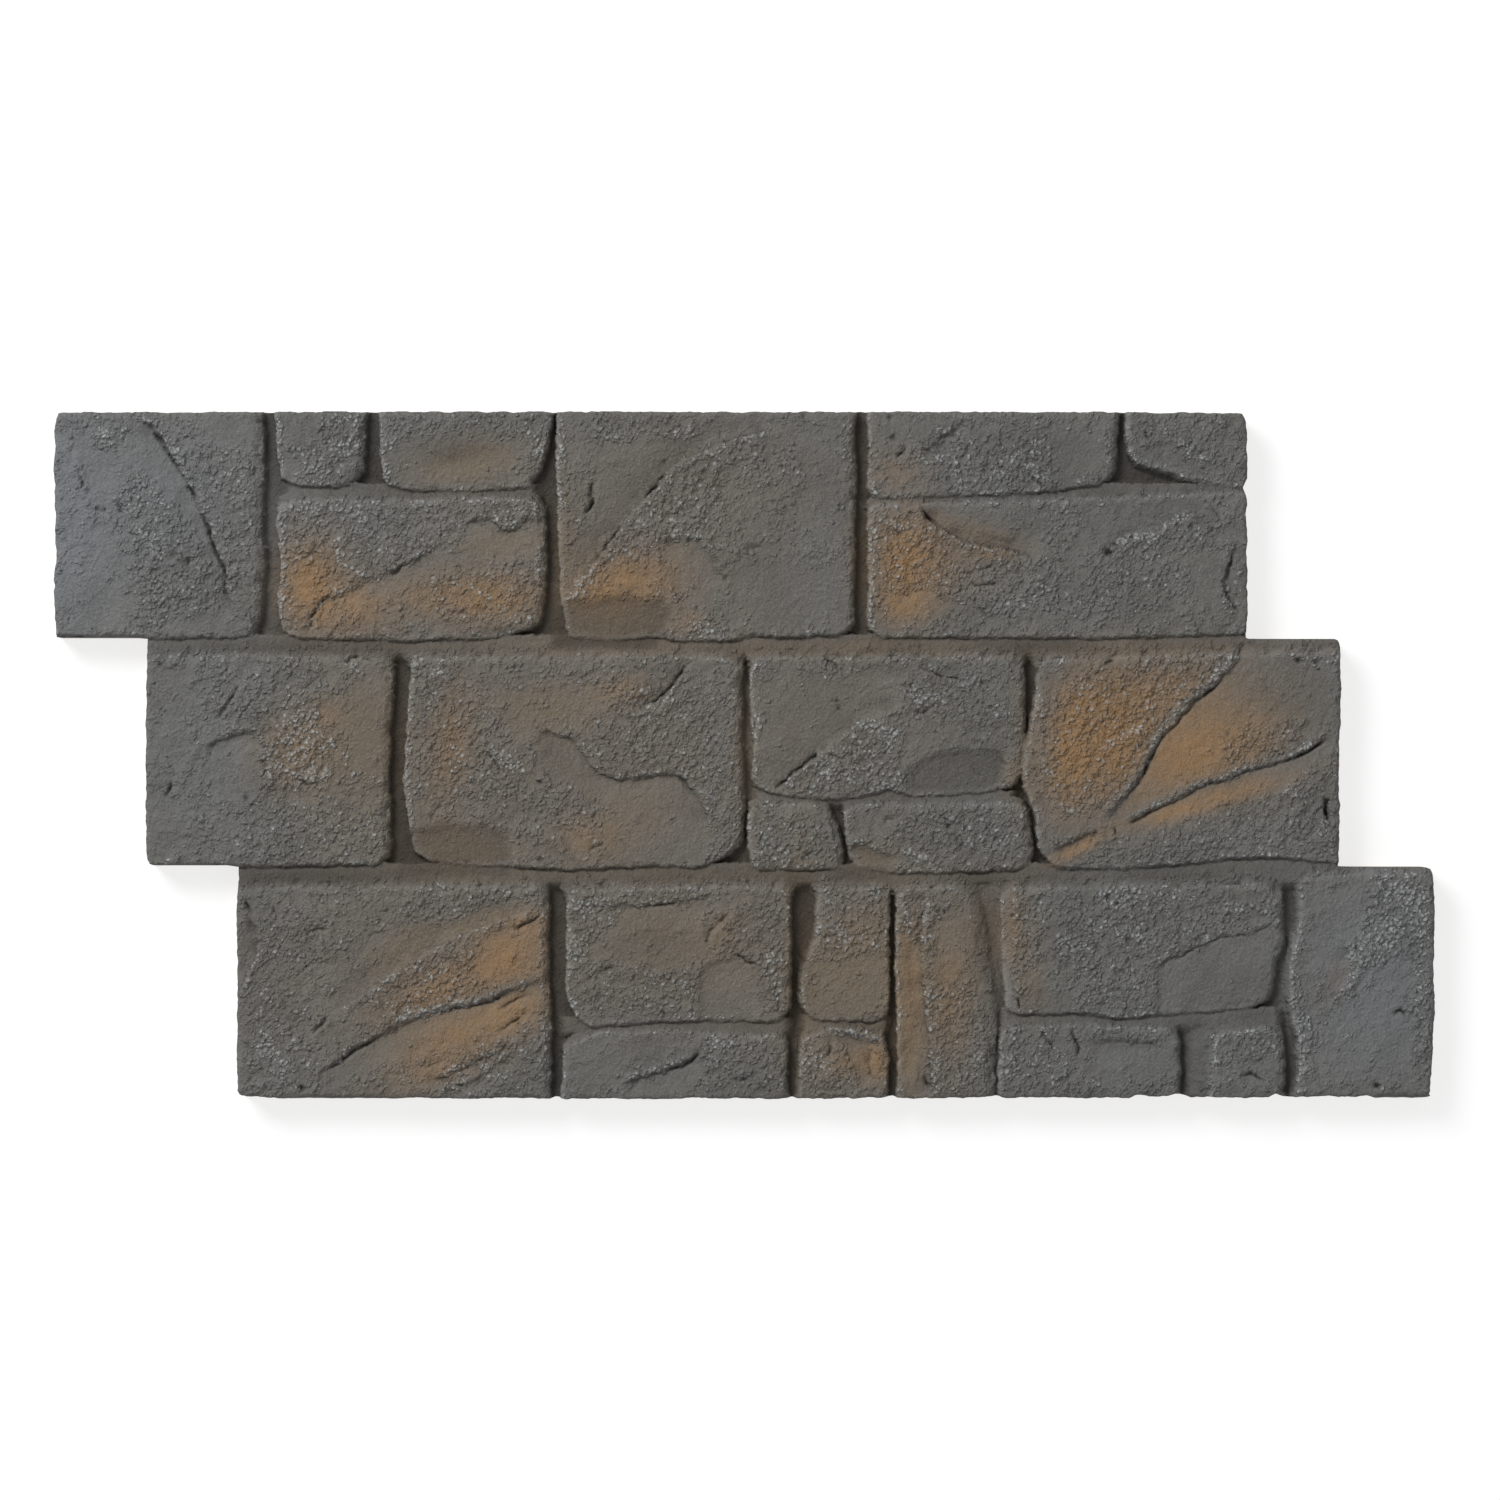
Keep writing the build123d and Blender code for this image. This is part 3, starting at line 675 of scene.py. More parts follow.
crack([(344, 664), (352, 658), (361, 655)], 2.6, 2.8)
ridge([(347, 666), (336, 684), (326, 695), (310, 706)], 3.0, 1.2)
worn([(210, 745), (255, 740), (256, 800), (212, 800), (200, 770)], 0.75)
worn([(152, 800), (187, 800), (186, 835), (166, 858), (152, 856)], 0.7)
worn([(150, 665), (190, 668), (200, 720), (172, 780), (152, 790)], 0.5)
worn([(320, 706), (334, 706), (334, 727), (322, 727)], 0.6)
worn([(350, 680), (388, 672), (388, 768), (352, 768), (345, 720)], 0.75)
rough([(300, 710), (312, 712), (326, 735), (334, 742), (332, 765), (326, 778), (300, 784), (285, 792),
       (262, 802), (250, 796), (262, 780), (268, 768), (262, 757), (268, 745), (280, 728)], 0.75)
rough([(195, 660), (320, 660), (315, 705), (262, 715), (200, 712)], 0.35)
rough([(240, 800), (384, 800), (382, 862), (240, 862)], 0.35)
brushed(ochre, (298, 752), (44, 46), 0.30)
brushed(brown, (298, 748), (50, 50), 0.40)
brushed(ochre, (326, 716), (20, 22), 0.25)
frosted([(300, 722), (286, 745), (300, 765)], 16, 0.55)
brushed(brown, (366, 725), (32, 62), 0.35)
for line in [
    ([(304, 708), (316, 714)], 4, 0.8), ([(264, 756), (270, 764), (264, 773)], 3.5, 0.8),
    ([(296, 771), (310, 780), (327, 771)], 4, 0.9), ([(330, 742), (335, 746)], 4, 0.7),
    ([(345, 756), (355, 779)], 6, 0.5), ([(376, 778), (384, 783)], 4, 0.6),
    ([(348, 665), (362, 668)], 4, 0.9), ([(281, 701), (286, 699)], 4, 0.6),
    ([(260, 708), (265, 709)], 4, 0.6),
]:
    frosted(*line)
stone([(130, 658), (200, 656), (330, 657), (380, 658), (387, 665), (386, 700), (382, 770), (384, 820),
       (384, 856), (376, 864), (300, 865), (220, 866), (150, 866), (130, 864)], 36.1, (0.1, 0.1))

# A long stone, worn below one curved split, with a dark scoop out of its lower left corner
split([(527, 738), (536, 734), (548, 732), (560, 736), (570, 738), (577, 744), (582, 755), (590, 765),
       (603, 774), (615, 778), (633, 780), (648, 777), (658, 775), (668, 773), (678, 776), (688, 785),
       (697, 795), (703, 806), (707, 820), (709, 845)], 2.2, 34, "below", sleek=0.9, lip=0.4)
crack([(676, 775), (685, 782), (692, 791)], 2.8, 2.6)
split([(696, 656), (686, 668), (680, 676), (673, 685), (660, 698), (643, 707), (630, 712)], 2.0, 20, "left",
      sleek=0.3)
crack([(693, 659), (680, 676), (673, 685), (660, 698), (643, 707)], 3.0, 3.8)
ridge([(632, 715), (648, 712), (663, 706)], 3.0, 1.0)
crack([(485, 751), (492, 759), (499, 767), (508, 775)], 2.6, 2.6)
ridge([(528, 763), (539, 775), (548, 785), (560, 790), (571, 793)], 3.0, 1.5)
hollow((562, 762), (36, 24), 38, 1.2, 0.9)
pit((540, 783), 3.5, 1.8)
split([(506, 826), (520, 825), (535, 827), (550, 833), (562, 838), (575, 851)], 1.1, 24, "above", sleek=0.3,
      lip=0.5)
scooped([(400, 834), (430, 829), (460, 827), (490, 828), (508, 833), (511, 850), (510, 876), (400, 876)],
        3.4, 14, 0.75)
crack([(440, 800), (434, 812), (430, 824)], 2.2, 1.4)
crack([(587, 852), (597, 846), (607, 843)], 2.2, 1.6)
pit((541, 860), 4.0, 2.0)
worn([(500, 692), (600, 690), (590, 728), (520, 728)], 0.6)
worn([(620, 785), (690, 795), (706, 830), (704, 864), (618, 866), (600, 830)], 0.65)
worn([(412, 800), (440, 810), (430, 830), (412, 826)], 0.4)
rough([(412, 664), (456, 664), (456, 696), (412, 700)], 0.4)
rough([(412, 700), (480, 700), (520, 745), (520, 800), (415, 800)], 0.4)
rough([(600, 700), (735, 668), (735, 790), (712, 790), (680, 768), (600, 768), (590, 740)], 0.45)
rough([(535, 665), (640, 662), (655, 690), (600, 690)], 0.3)
rough([(520, 790), (590, 795), (600, 830), (520, 822)], 0.3)
rough([(720, 790), (738, 790), (736, 860), (720, 858)], 0.45)
brushed(ochre, (450, 745), (26, 68), 0.40, 8)
brushed(ochre, (590, 838), (44, 30), 0.35)
brushed(ochre, (620, 690), (38, 18), 0.35)
brushed(brown, (545, 708), (74, 28), 0.50)
brushed(brown, (455, 850), (64, 26), 1.0)
brushed(brown, (640, 820), (60, 40), 0.25)
frosted([(411, 659), (425, 661)], 4, 0.9)
frosted([(494, 754), (508, 764), (520, 770)], 6, 0.6)
frosted([(530, 766), (548, 785), (566, 792)], 3, 0.6)
frosted([(702, 790), (712, 797)], 4, 0.8)
frosted([(407, 738), (407, 780), (410, 830)], 3.5, 0.9)
stone([(410, 664), (418, 658), (500, 657), (640, 656), (700, 657), (731, 659), (738, 668), (736, 730),
       (740, 790), (738, 845), (724, 857), (703, 866), (654, 865), (577, 869), (510, 866), (430, 862),
       (413, 850), (411, 833), (404, 790), (405, 756), (409, 700)], 36.4, (0.0, 0.1), right=7)

# A stone that stands up behind a slanting split, with a smooth scoop out of its lower right corner
crack([(821, 656), (832, 661), (838, 667), (848, 672)], 2.6, 2.4)
hollow((882, 676), (32, 12), 4, 2.0, 0.9)
split([(919, 667), (928, 671), (937, 675), (950, 678), (964, 681), (976, 679)], 1.6, 16, "above", sleek=0.4)
crack([(920, 668), (930, 672), (945, 677), (966, 681)], 2.2, 1.6)
crack([(916, 680), (909, 690), (905, 700)], 2.4, 1.6)
crack([(911, 717), (920, 713), (930, 708), (942, 703)], 2.6, 2.2)
for hole in [
    ((983, 683), 3.2, 2.2), ((990, 707), 3.2, 2.0), ((836, 701), 2.8, 1.6), ((839, 709), 3.0, 1.8),
]:
    pit(*hole)
split([(776, 790), (783, 781), (790, 775), (799, 768), (806, 761), (822, 750), (835, 741), (847, 732),
       (857, 724), (868, 718), (882, 711), (896, 706), (907, 700)], 2.0, 34, "left", sleek=0.7)
crack([(775, 791), (782, 782), (788, 779), (795, 770), (803, 766), (809, 759), (820, 752)], 2.8, 3.6, 0.1)
scooped([(904, 780), (914, 766), (928, 758), (946, 752), (968, 749), (990, 749), (1006, 753), (1004, 782),
         (985, 792), (912, 794)], 2.6, 9, 0.78)
crack([(973, 765), (977, 773), (983, 780)], 2.4, 1.8)
ridge([(987, 770), (995, 779), (1006, 785)], 2.6, 1.4)
crack([(1001, 758), (1009, 767)], 2.2, 1.6)
crack([(752, 713), (756, 722), (754, 733)], 2.2, 2.0)
worn([(762, 665), (850, 680), (905, 690), (895, 706), (862, 718), (835, 740), (800, 765), (775, 785),
      (758, 780), (757, 700)], 0.75)
worn([(905, 725), (1000, 722), (1010, 745), (940, 748), (905, 762)], 0.5)
rough([(903, 682), (948, 682), (950, 712), (905, 715)], 0.5)
rough([(800, 792), (812, 765), (850, 738), (890, 722), (905, 725), (900, 760), (905, 792)], 0.65)
rough([(752, 660), (778, 662), (768, 705), (754, 700)], 0.4)
rough([(950, 660), (1018, 662), (1020, 745), (955, 740)], 0.25)
brushed(brown, (1014, 778), (16, 24), 0.70)
for line in [
    ([(823, 667), (827, 678)], 4, 0.6), ([(850, 668), (858, 671)], 4, 0.5),
    ([(920, 666), (936, 671)], 4, 0.6), ([(962, 676), (973, 678)], 4, 0.5),
    ([(912, 690), (925, 700), (940, 700)], 7, 0.5), ([(993, 706), (999, 710)], 4, 0.8),
    ([(782, 788), (790, 784), (799, 778)], 3.5, 0.7), ([(858, 724), (875, 728), (893, 736)], 6, 0.6),
    ([(820, 775), (852, 778)], 7, 0.6), ([(988, 771), (996, 779), (1005, 784)], 3, 0.5),
    ([(757, 714), (759, 728), (758, 744)], 3.5, 0.9), ([(868, 793), (880, 787), (893, 785)], 3, 0.7),
]:
    frosted(*line)
stone([(751, 665), (758, 658), (850, 657), (950, 656), (1008, 657), (1018, 663), (1021, 700), (1020, 770),
       (1012, 785), (987, 791), (938, 795), (904, 794), (890, 788), (865, 796), (822, 799), (781, 794),
       (757, 789), (752, 780), (754, 750), (750, 700)], 36.0, (0.1, 0.1), right=7)

# The first of two small stones under it
crack([(801, 862), (808, 855), (815, 849)], 2.4, 2.0)
rough([(752, 815), (835, 815), (838, 866), (755, 866)], 0.4)
worn([(780, 800), (830, 803), (830, 815), (775, 815)], 0.4)
frosted([(765, 840), (790, 855)], 8, 0.35)
frosted([(763, 803), (771, 806)], 4, 0.6)
stone([(748, 808), (760, 803), (815, 804), (825, 812), (834, 833), (838, 860), (832, 868), (760, 870),
       (750, 862), (747, 830)], 35.4, top=7)

# The second, with a scoop out of its lower left corner
crack([(883, 823), (889, 818), (895, 819)], 2.4, 1.8)
pit((945, 818), 3.0, 1.6)
pit((948, 826), 3.0, 1.8)
pit((997, 838), 3.0, 1.6)
scooped([(838, 848), (860, 846), (884, 852), (893, 860), (886, 880), (838, 880)], 3.6, 10, 0.40)
rough([(895, 812), (1020, 808), (1028, 862), (930, 870), (890, 856)], 0.4)
worn([(846, 806), (885, 806), (885, 830), (850, 825)], 0.3)
brushed(brown, (868, 860), (34, 20), 0.60)
frosted([(846, 826), (848, 838), (857, 842), (872, 845), (887, 851)], 3.5, 0.9)
frosted([(909, 856), (927, 857)], 5, 0.7)
stone([(843, 810), (860, 804), (1015, 803), (1024, 809), (1030, 860), (1020, 869), (950, 872), (890, 872),
       (860, 868), (850, 858), (846, 835)], 35.7, top=7, right=7)

# The long stone at the right end. Two splits cross it and meet near its foot
upper_split = [(1245, 632), (1242, 645), (1236, 660), (1228, 672), (1218, 684), (1207, 693), (1196, 701),
               (1190, 708), (1178, 722), (1163, 736), (1155, 748), (1149, 762), (1140, 779), (1133, 791),
               (1120, 803), (1108, 818), (1099, 826)]
lower_split = [(1338, 735), (1326, 739), (1318, 746), (1310, 751), (1297, 757), (1285, 761), (1270, 767),
               (1255, 769), (1240, 775), (1228, 780), (1210, 784), (1195, 790), (1182, 798), (1165, 806),
               (1148, 814), (1136, 820), (1123, 827)]
split(upper_split, 1.3, 46, "right", sleek=0.95, lip=0.7, wall=4.0, fade=0.08)
split(lower_split, 1.2, 26, "below", sleek=0.95, lip=0.7, wall=3.5, fade=0.08)
crack(upper_split[3:15], 2.0, 1.6, fade=0.1)
crack([(1219, 683), (1210, 691), (1200, 699)], 3.0, 2.4)
crack([(1153, 750), (1148, 764), (1141, 779)], 3.0, 2.8)
crack(lower_split[1:16], 2.0, 1.6, fade=0.1)
crack([(1330, 737), (1318, 746), (1308, 752), (1295, 757), (1281, 762)], 3.0, 3.0)
crack([(1154, 811), (1140, 819), (1126, 826)], 2.8, 2.4)
split([(1101, 829), (1090, 833), (1080, 838), (1068, 844), (1052, 851)], 1.9, 15, "below", sleek=0.6)
crack([(1115, 827), (1116, 836)], 2.2, 2.2)
crack([(1328, 798), (1327, 810), (1330, 821)], 5.0, 6.4, fade=0.1)
for hole in [
    ((1298, 661), 3.4, 2.6), ((1313, 653), 4.0, 2.2), ((1317, 661), 3.4, 2.2), ((1319, 670), 2.8, 1.6),
    ((1228, 734), 2.4, 1.6), ((1278, 726), 2.4, 1.4), ((1037, 670), 3.5, 2.4), ((1044, 733), 3.0, 2.0),
]:
    pit(*hole)
ridge([(1275, 657), (1287, 650), (1301, 644)], 2.4, 0.9)
crack([(1261, 679), (1266, 685), (1272, 692)], 2.0, 1.0)
crack([(1103, 665), (1109, 662), (1116, 660)], 2.2, 2.4)
worn([(1240, 660), (1330, 668), (1332, 730), (1300, 720), (1240, 740), (1215, 770), (1160, 795),
      (1160, 750), (1195, 710)], 0.65)
worn([(1050, 832), (1062, 825), (1078, 816), (1100, 812), (1106, 822), (1085, 836), (1055, 848)], 0.75)
rough([(1060, 700), (1085, 668), (1150, 658), (1228, 655), (1212, 680), (1180, 704), (1155, 730),
       (1146, 757), (1130, 785), (1105, 815), (1062, 816), (1055, 760)], 0.5)
rough([(1036, 690), (1058, 690), (1052, 790), (1038, 780)], 0.35)
rough([(1222, 742), (1262, 725), (1300, 720), (1305, 745), (1280, 757), (1240, 770), (1222, 765)], 0.45)
rough([(1112, 842), (1165, 824), (1200, 812), (1240, 803), (1265, 800), (1290, 782), (1336, 745),
       (1338, 858), (1240, 852), (1160, 862), (1075, 862)], 0.35)
rough([(1225, 655), (1240, 645), (1236, 662), (1205, 692), (1180, 715), (1158, 738), (1150, 756),
       (1146, 748), (1160, 722), (1180, 704), (1205, 684)], 0.4, 4)
for spray in [
    ((1072, 748), (28, 66), 1.0, 8), ((1095, 700), (60, 40), 0.45, -20),
    ((1112, 742), (58, 76), 0.92, 24), ((1165, 693), (74, 36), 0.45, -18),
    ((1192, 752), (68, 46), 0.80, -36), ((1245, 740), (56, 36), 0.45, -20),
    ((1225, 797), (82, 12), 0.62, -17), ((1168, 812), (40, 10), 0.60, -16),
    ((1078, 848), (42, 9), 0.70, -28),
]:
    brushed(ochre, *spray)
brushed(brown, (1190, 720), (120, 60), 0.30, -30)
greyed([(1238, 648), (1224, 669), (1207, 688), (1186, 705), (1165, 724), (1154, 742), (1146, 762),
        (1130, 788), (1110, 812)], 6, 0.85)
greyed([(1322, 741), (1296, 753), (1262, 765), (1230, 777), (1195, 787), (1160, 804), (1132, 818)], 5, 0.85)
for line in [
    ([(1237, 646), (1228, 664), (1214, 680)], 5, 0.6), ([(1180, 708), (1166, 722), (1156, 738)], 5, 0.45),
    ([(1300, 751), (1314, 744), (1324, 738)], 3, 0.6),
    ([(1130, 817), (1148, 809), (1166, 802)], 3.5, 0.6), ([(1188, 788), (1206, 784)], 3.5, 0.5),
    ([(1225, 779), (1241, 773)], 4, 0.5), ([(1302, 648), (1312, 658), (1321, 665)], 5, 0.5),
    ([(1326, 661), (1339, 657)], 5, 0.7), ([(1099, 751), (1112, 743), (1126, 734)], 5, 0.7),
    ([(1043, 761), (1050, 772), (1055, 779)], 3.5, 0.7), ([(1282, 789), (1296, 798)], 6, 0.5),
    ([(1321, 822), (1334, 850)], 7, 0.45),
]:
    frosted(*line)
stone([(1037, 668), (1045, 659), (1140, 656), (1240, 653), (1360, 652), (1360, 862), (1334, 862),
       (1274, 856), (1233, 857), (1194, 862), (1121, 868), (1066, 868), (1053, 864), (1039, 850),
       (1036, 814), (1023, 785), (1025, 756), (1034, 712)], 36.2, (0.0, 0.1))

# The lower course. Ten stones: a long one with slanting splits, two pairs of one over another, a narrow
# upright one, a wide one over two small ones, and a plain tall one at the right end. That end was
# sprayed bluish like the other.

# The long stone at the left end, with splits that slant up across it
split([(328, 1018), (345, 1006), (358, 997), (372, 986), (385, 977), (395, 970), (405, 964), (418, 957),
       (426, 951), (440, 943), (460, 935), (480, 927), (500, 918), (520, 912), (544, 903)], 1.9, 26,
       "above", sleek=0.8)
crack([(509, 932), (518, 927), (526, 924), (533, 920), (546, 912)], 2.8, 3.0)
long_split = [(311, 1077), (325, 1070), (335, 1066), (347, 1056), (365, 1045), (382, 1035), (395, 1028),
              (405, 1024), (420, 1018), (435, 1014), (450, 1010), (468, 1007), (488, 1002), (497, 998),
              (505, 992), (525, 987), (552, 979)]
split(long_split, 1.8, 26, "below", sleek=0.75, lip=0.6, wall=3.5, fade=0.1)
crack(long_split[1:6], 2.6, 3.0)
crack(long_split[9:15], 2.2, 2.0)
crack([(486, 1003), (497, 998), (508, 991)], 3.2, 2.2)
crack([(311, 1036), (320, 1027), (330, 1015)], 2.8, 3.2)
ridge([(298, 1052), (316, 1036), (336, 1013)], 4.0, 0.8)
crack([(423, 1070), (432, 1064), (443, 1061)], 2.2, 1.4)
split([(428, 1081), (450, 1075), (463, 1068), (478, 1060), (494, 1052), (512, 1039)], 1.6, 18, "below",
      sleek=0.5)
split([(438, 1098), (455, 1088), (470, 1082), (485, 1072), (500, 1062), (516, 1051)], 1.6, 18, "below",
      sleek=0.4)
crack([(497, 1036), (505, 1028), (513, 1021), (522, 1016), (531, 1010)], 2.4, 2.0)
crack([(498, 1010), (509, 1004), (520, 998), (533, 993)], 2.4, 2.0)
split([(249, 916), (256, 930), (258, 942), (256, 955), (249, 967), (243, 979), (237, 994)], 2.8, 24, "left",
      sleek=0.85, lip=0.5)
crack([(243, 901), (250, 908), (252, 916)], 3.0, 2.8)
crack([(271, 905), (275, 915)], 2.4, 1.8)
crack([(299, 938), (309, 934), (317, 929), (332, 928)], 2.4, 1.8)
crack([(293, 980), (303, 971), (312, 962)], 2.2, 1.6)
crack([(367, 940), (373, 934), (380, 931)], 2.6, 2.4)
crack([(299, 1086), (304, 1090), (302, 1096)], 3.0, 3.4)
ridge([(270, 893), (305, 892), (342, 893)], 2.4, 0.8)
worn([(478, 930), (505, 925), (540, 925), (540, 975), (490, 985), (475, 960)], 0.45)
worn([(380, 965), (380, 945), (400, 932), (440, 922), (500, 905), (520, 908), (480, 925), (425, 948)], 0.7)
worn([(375, 1045), (400, 1030), (470, 1012), (500, 1005), (490, 1030), (440, 1050), (380, 1060)], 0.6)
worn([(268, 890), (345, 890), (345, 902), (268, 902)], 0.4)
rough([(375, 985), (400, 970), (425, 958), (470, 948), (475, 990), (430, 1008), (385, 1018), (370, 1000)],
       0.6)
rough([(400, 890), (545, 890), (545, 905), (500, 912), (440, 925), (400, 920)], 0.4)
rough([(262, 985), (300, 1000), (300, 1090), (245, 1090), (245, 1000)], 0.3)
rough([(440, 1070), (540, 1025), (545, 1095), (445, 1096)], 0.4)
rough([(265, 905), (345, 905), (335, 960), (262, 960)], 0.3)
for spray in [
    ((508, 957), (48, 40), 0.75, -20), ((440, 988), (72, 30), 0.60, -24),
    ((512, 1014), (46, 26), 0.58, -22), ((455, 1036), (72, 24), 0.50, -22),
    ((440, 1068), (72, 24), 0.40, -20), ((530, 925), (26, 20), 0.45),
]:
    brushed(ochre, *spray)
brushed(brown, (405, 950), (50, 22), 0.60, -30)
brushed(brown, (470, 925), (52, 14), 0.50, -18)
brushed(brown, (470, 1020), (110, 50), 0.30, -20)
greyed([(400, 1018), (425, 1013), (455, 1006), (480, 1000), (502, 990), (530, 983)], 5, 0.85)
for line in [
    ([(397, 1018), (415, 1014), (429, 1016)], 5, 0.8),
    ([(436, 1011), (455, 1006), (477, 1001)], 3.5, 0.8), ([(484, 1044), (490, 1054)], 4, 0.9),
    ([(494, 1003), (507, 999)], 4, 0.6), ([(257, 988), (262, 1012)], 8, 0.4),
    ([(262, 1040), (285, 1068)], 9, 0.45), ([(304, 1060), (312, 1064)], 4, 0.6),
    ([(544, 918), (544, 960), (543, 1000)], 4, 0.6), ([(545, 1018), (545, 1062)], 4, 0.8),
]:
    frosted(*line)
stone([(222, 890), (300, 887), (400, 887), (500, 886), (536, 887), (543, 896), (542, 960), (545, 1030),
       (543, 1115), (222, 1115)], 36.2, (-0.1, 0.1))

# A stone worn smooth in its middle
split([(578, 905), (612, 906), (645, 906), (684, 903), (700, 898), (728, 896)], 1.0, 20, "below", sleek=0.5)
crack([(639, 907), (655, 906), (668, 904), (685, 903)], 2.4, 2.0)
ridge([(741, 903), (739, 914), (730, 924), (718, 932), (711, 942), (712, 952)], 4.0, 1.6)
crack([(734, 907), (722, 920), (710, 931), (706, 941), (709, 951)], 2.6, 1.8)
crack([(732, 952), (741, 958), (748, 963), (759, 966)], 2.6, 2.8)
scooped([(700, 977), (714, 964), (735, 959), (748, 966), (753, 985), (752, 1030), (700, 1030)], 1.5, 5,
         0.10)
crack([(572, 993), (582, 983), (594, 975), (607, 969), (623, 966)], 2.4, 1.6)
ridge([(576, 999), (588, 988), (602, 981), (616, 976)], 3.0, 1.0)
crack([(663, 1010), (666, 1020)], 2.2, 1.6)
worn([(595, 925), (640, 908), (700, 905), (712, 925), (700, 960), (640, 965), (592, 960)], 0.55)
worn([(702, 970), (735, 964), (749, 980), (749, 1015), (700, 1015)], 0.7)
rough([(572, 890), (700, 890), (690, 902), (580, 906)], 0.3)
rough([(570, 905), (625, 905), (620, 925), (590, 935), (585, 965), (570, 970)], 0.45)
rough([(570, 960), (625, 966), (600, 1015), (575, 1010)], 0.4)
rough([(625, 965), (700, 965), (695, 1012), (625, 1012)], 0.35)
rough([(755, 905), (788, 900), (788, 1015), (757, 1016)], 0.45)
rough([(735, 905), (760, 905), (765, 962), (720, 950)], 0.35)
brushed(brown, (650, 930), (90, 40), 0.20)
brushed(ochre, (722, 932), (18, 30), 0.20, 30)
frosted([(573, 906), (590, 914)], 6, 0.6)
frosted([(570, 936), (578, 958)], 6, 0.6)
frosted([(640, 970), (690, 985)], 8, 0.3)
frosted([(770, 955), (781, 958)], 4, 0.7)
frosted([(667, 1016), (705, 1016), (742, 1015)], 2.5, 0.7)
stone([(567, 896), (575, 889), (660, 887), (740, 887), (780, 887), (789, 894), (790, 950), (789, 1008),
       (778, 1021), (746, 1021), (697, 1020), (661, 1021), (591, 1027), (576, 1016), (567, 1000),
       (566, 950)], 36.1, (0.1, 0.1), right=3.5)

# The stone under it, split across its middle
split([(622, 1087), (640, 1078), (655, 1074), (670, 1070), (682, 1066), (692, 1060), (702, 1052)], 2.2, 30,
      "below", sleek=0.75)
crack([(666, 1072), (682, 1067), (693, 1059), (702, 1052)], 3.0, 3.6)
pit((736, 1079), 3.0, 1.6)
pit((743, 1079), 3.0, 1.6)
worn([(568, 1050), (600, 1035), (650, 1033), (695, 1042), (690, 1055), (640, 1068), (600, 1085),
      (570, 1085)], 0.65)
rough([(705, 1035), (780, 1035), (782, 1092), (700, 1092)], 0.45)
frosted([(641, 1073), (660, 1067), (678, 1063)], 3, 0.8)
frosted([(712, 1042), (732, 1044)], 6, 0.5)
stone([(563, 1050), (573, 1041), (600, 1032), (640, 1031), (700, 1032), (740, 1035), (775, 1034),
       (784, 1040), (783, 1075), (785, 1115), (562, 1115)], 35.5, top=7, right=6)

# A small leaning stone
rough([(822, 888), (886, 888), (886, 950), (830, 955)], 0.45)
worn([(812, 965), (884, 960), (885, 1012), (815, 1014)], 0.6)
brushed(brown, (850, 975), (48, 52), 0.50)
brushed(ochre, (862, 930), (28, 32), 0.22)
frosted([(873, 892), (885, 893)], 4, 0.8)
frosted([(831, 902), (836, 908)], 4, 0.5)
frosted([(832, 929), (846, 937)], 5, 0.6)
frosted([(862, 932), (877, 947)], 5, 0.55)
stone([(818, 893), (826, 887), (880, 887), (889, 894), (888, 950), (889, 1000), (885, 1017), (870, 1021),
       (820, 1020), (807, 1014), (801, 1000), (801, 978), (806, 961), (813, 945), (817, 925)], 34.9,
       (0.2, 0.0), right=2.5, left=5)

# The stone under it, broken away on its right
split([(828, 1029), (845, 1035), (860, 1036), (872, 1039), (884, 1044)], 2.2, 20, "below", sleek=0.5)
scooped([(843, 1044), (868, 1044), (876, 1050), (868, 1066), (872, 1082), (860, 1084), (848, 1064)], 1.6, 8,
        0.30)
crack([(828, 1041), (831, 1050), (828, 1059)], 3.0, 2.6)
crack([(872, 1047), (868, 1060), (870, 1074), (879, 1085)], 3.0, 2.0)
rough([(805, 1045), (848, 1048), (862, 1085), (850, 1094), (805, 1094)], 0.5)
brushed(brown, (840, 1066), (48, 36), 0.50)
brushed(ochre, (876, 1062), (18, 24), 0.60)
brushed(ochre, (850, 1062), (30, 16), 0.30)
frosted([(832, 1031), (847, 1035), (862, 1036), (880, 1042)], 3, 1.0)
frosted([(812, 1058), (826, 1072)], 7, 0.6)
stone([(801, 1042), (812, 1034), (830, 1028), (870, 1032), (884, 1037), (888, 1060), (886, 1115),
       (798, 1115)], 34.6, top=7, right=3, left=6)

# The narrow upright stone, split from top to bottom
split([(926, 890), (921, 930), (921, 960), (925, 1000), (928, 1040), (932, 1075), (930, 1100)], 2.6, 28,
       "left", sleek=0.8, fade=0.05)
hollow((906, 1058), (14, 34), 0, 3.0, 0.6)
crack([(923, 1073), (928, 1085), (937, 1095)], 2.8, 2.8)
pit((939, 911), 3.4, 2.0)
pit((946, 912), 3.2, 1.8)
worn([(936, 915), (966, 910), (972, 960), (940, 975)], 0.6)
rough([(900, 892), (932, 892), (928, 940), (902, 940)], 0.45)
rough([(928, 985), (978, 980), (984, 1092), (934, 1092)], 0.5)
brushed(ochre, (910, 985), (18, 84), 0.40)
brushed(ochre, (952, 1000), (26, 70), 0.30)
brushed(brown, (935, 985), (50, 120), 0.45)
brushed(brown, (907, 1056), (18, 42), 0.75)
frosted([(905, 900), (912, 935)], 7, 0.5)
frosted([(932, 1058), (939, 1068)], 4, 0.7)
frosted([(925, 985), (929, 1032)], 4, 0.5)
stone([(897, 894), (905, 888), (955, 887), (966, 892), (974, 923), (981, 971), (987, 1020), (986, 1115),
       (897, 1115), (898, 1020), (895, 960)], 36.2, (0.0, 0.1), right=14)

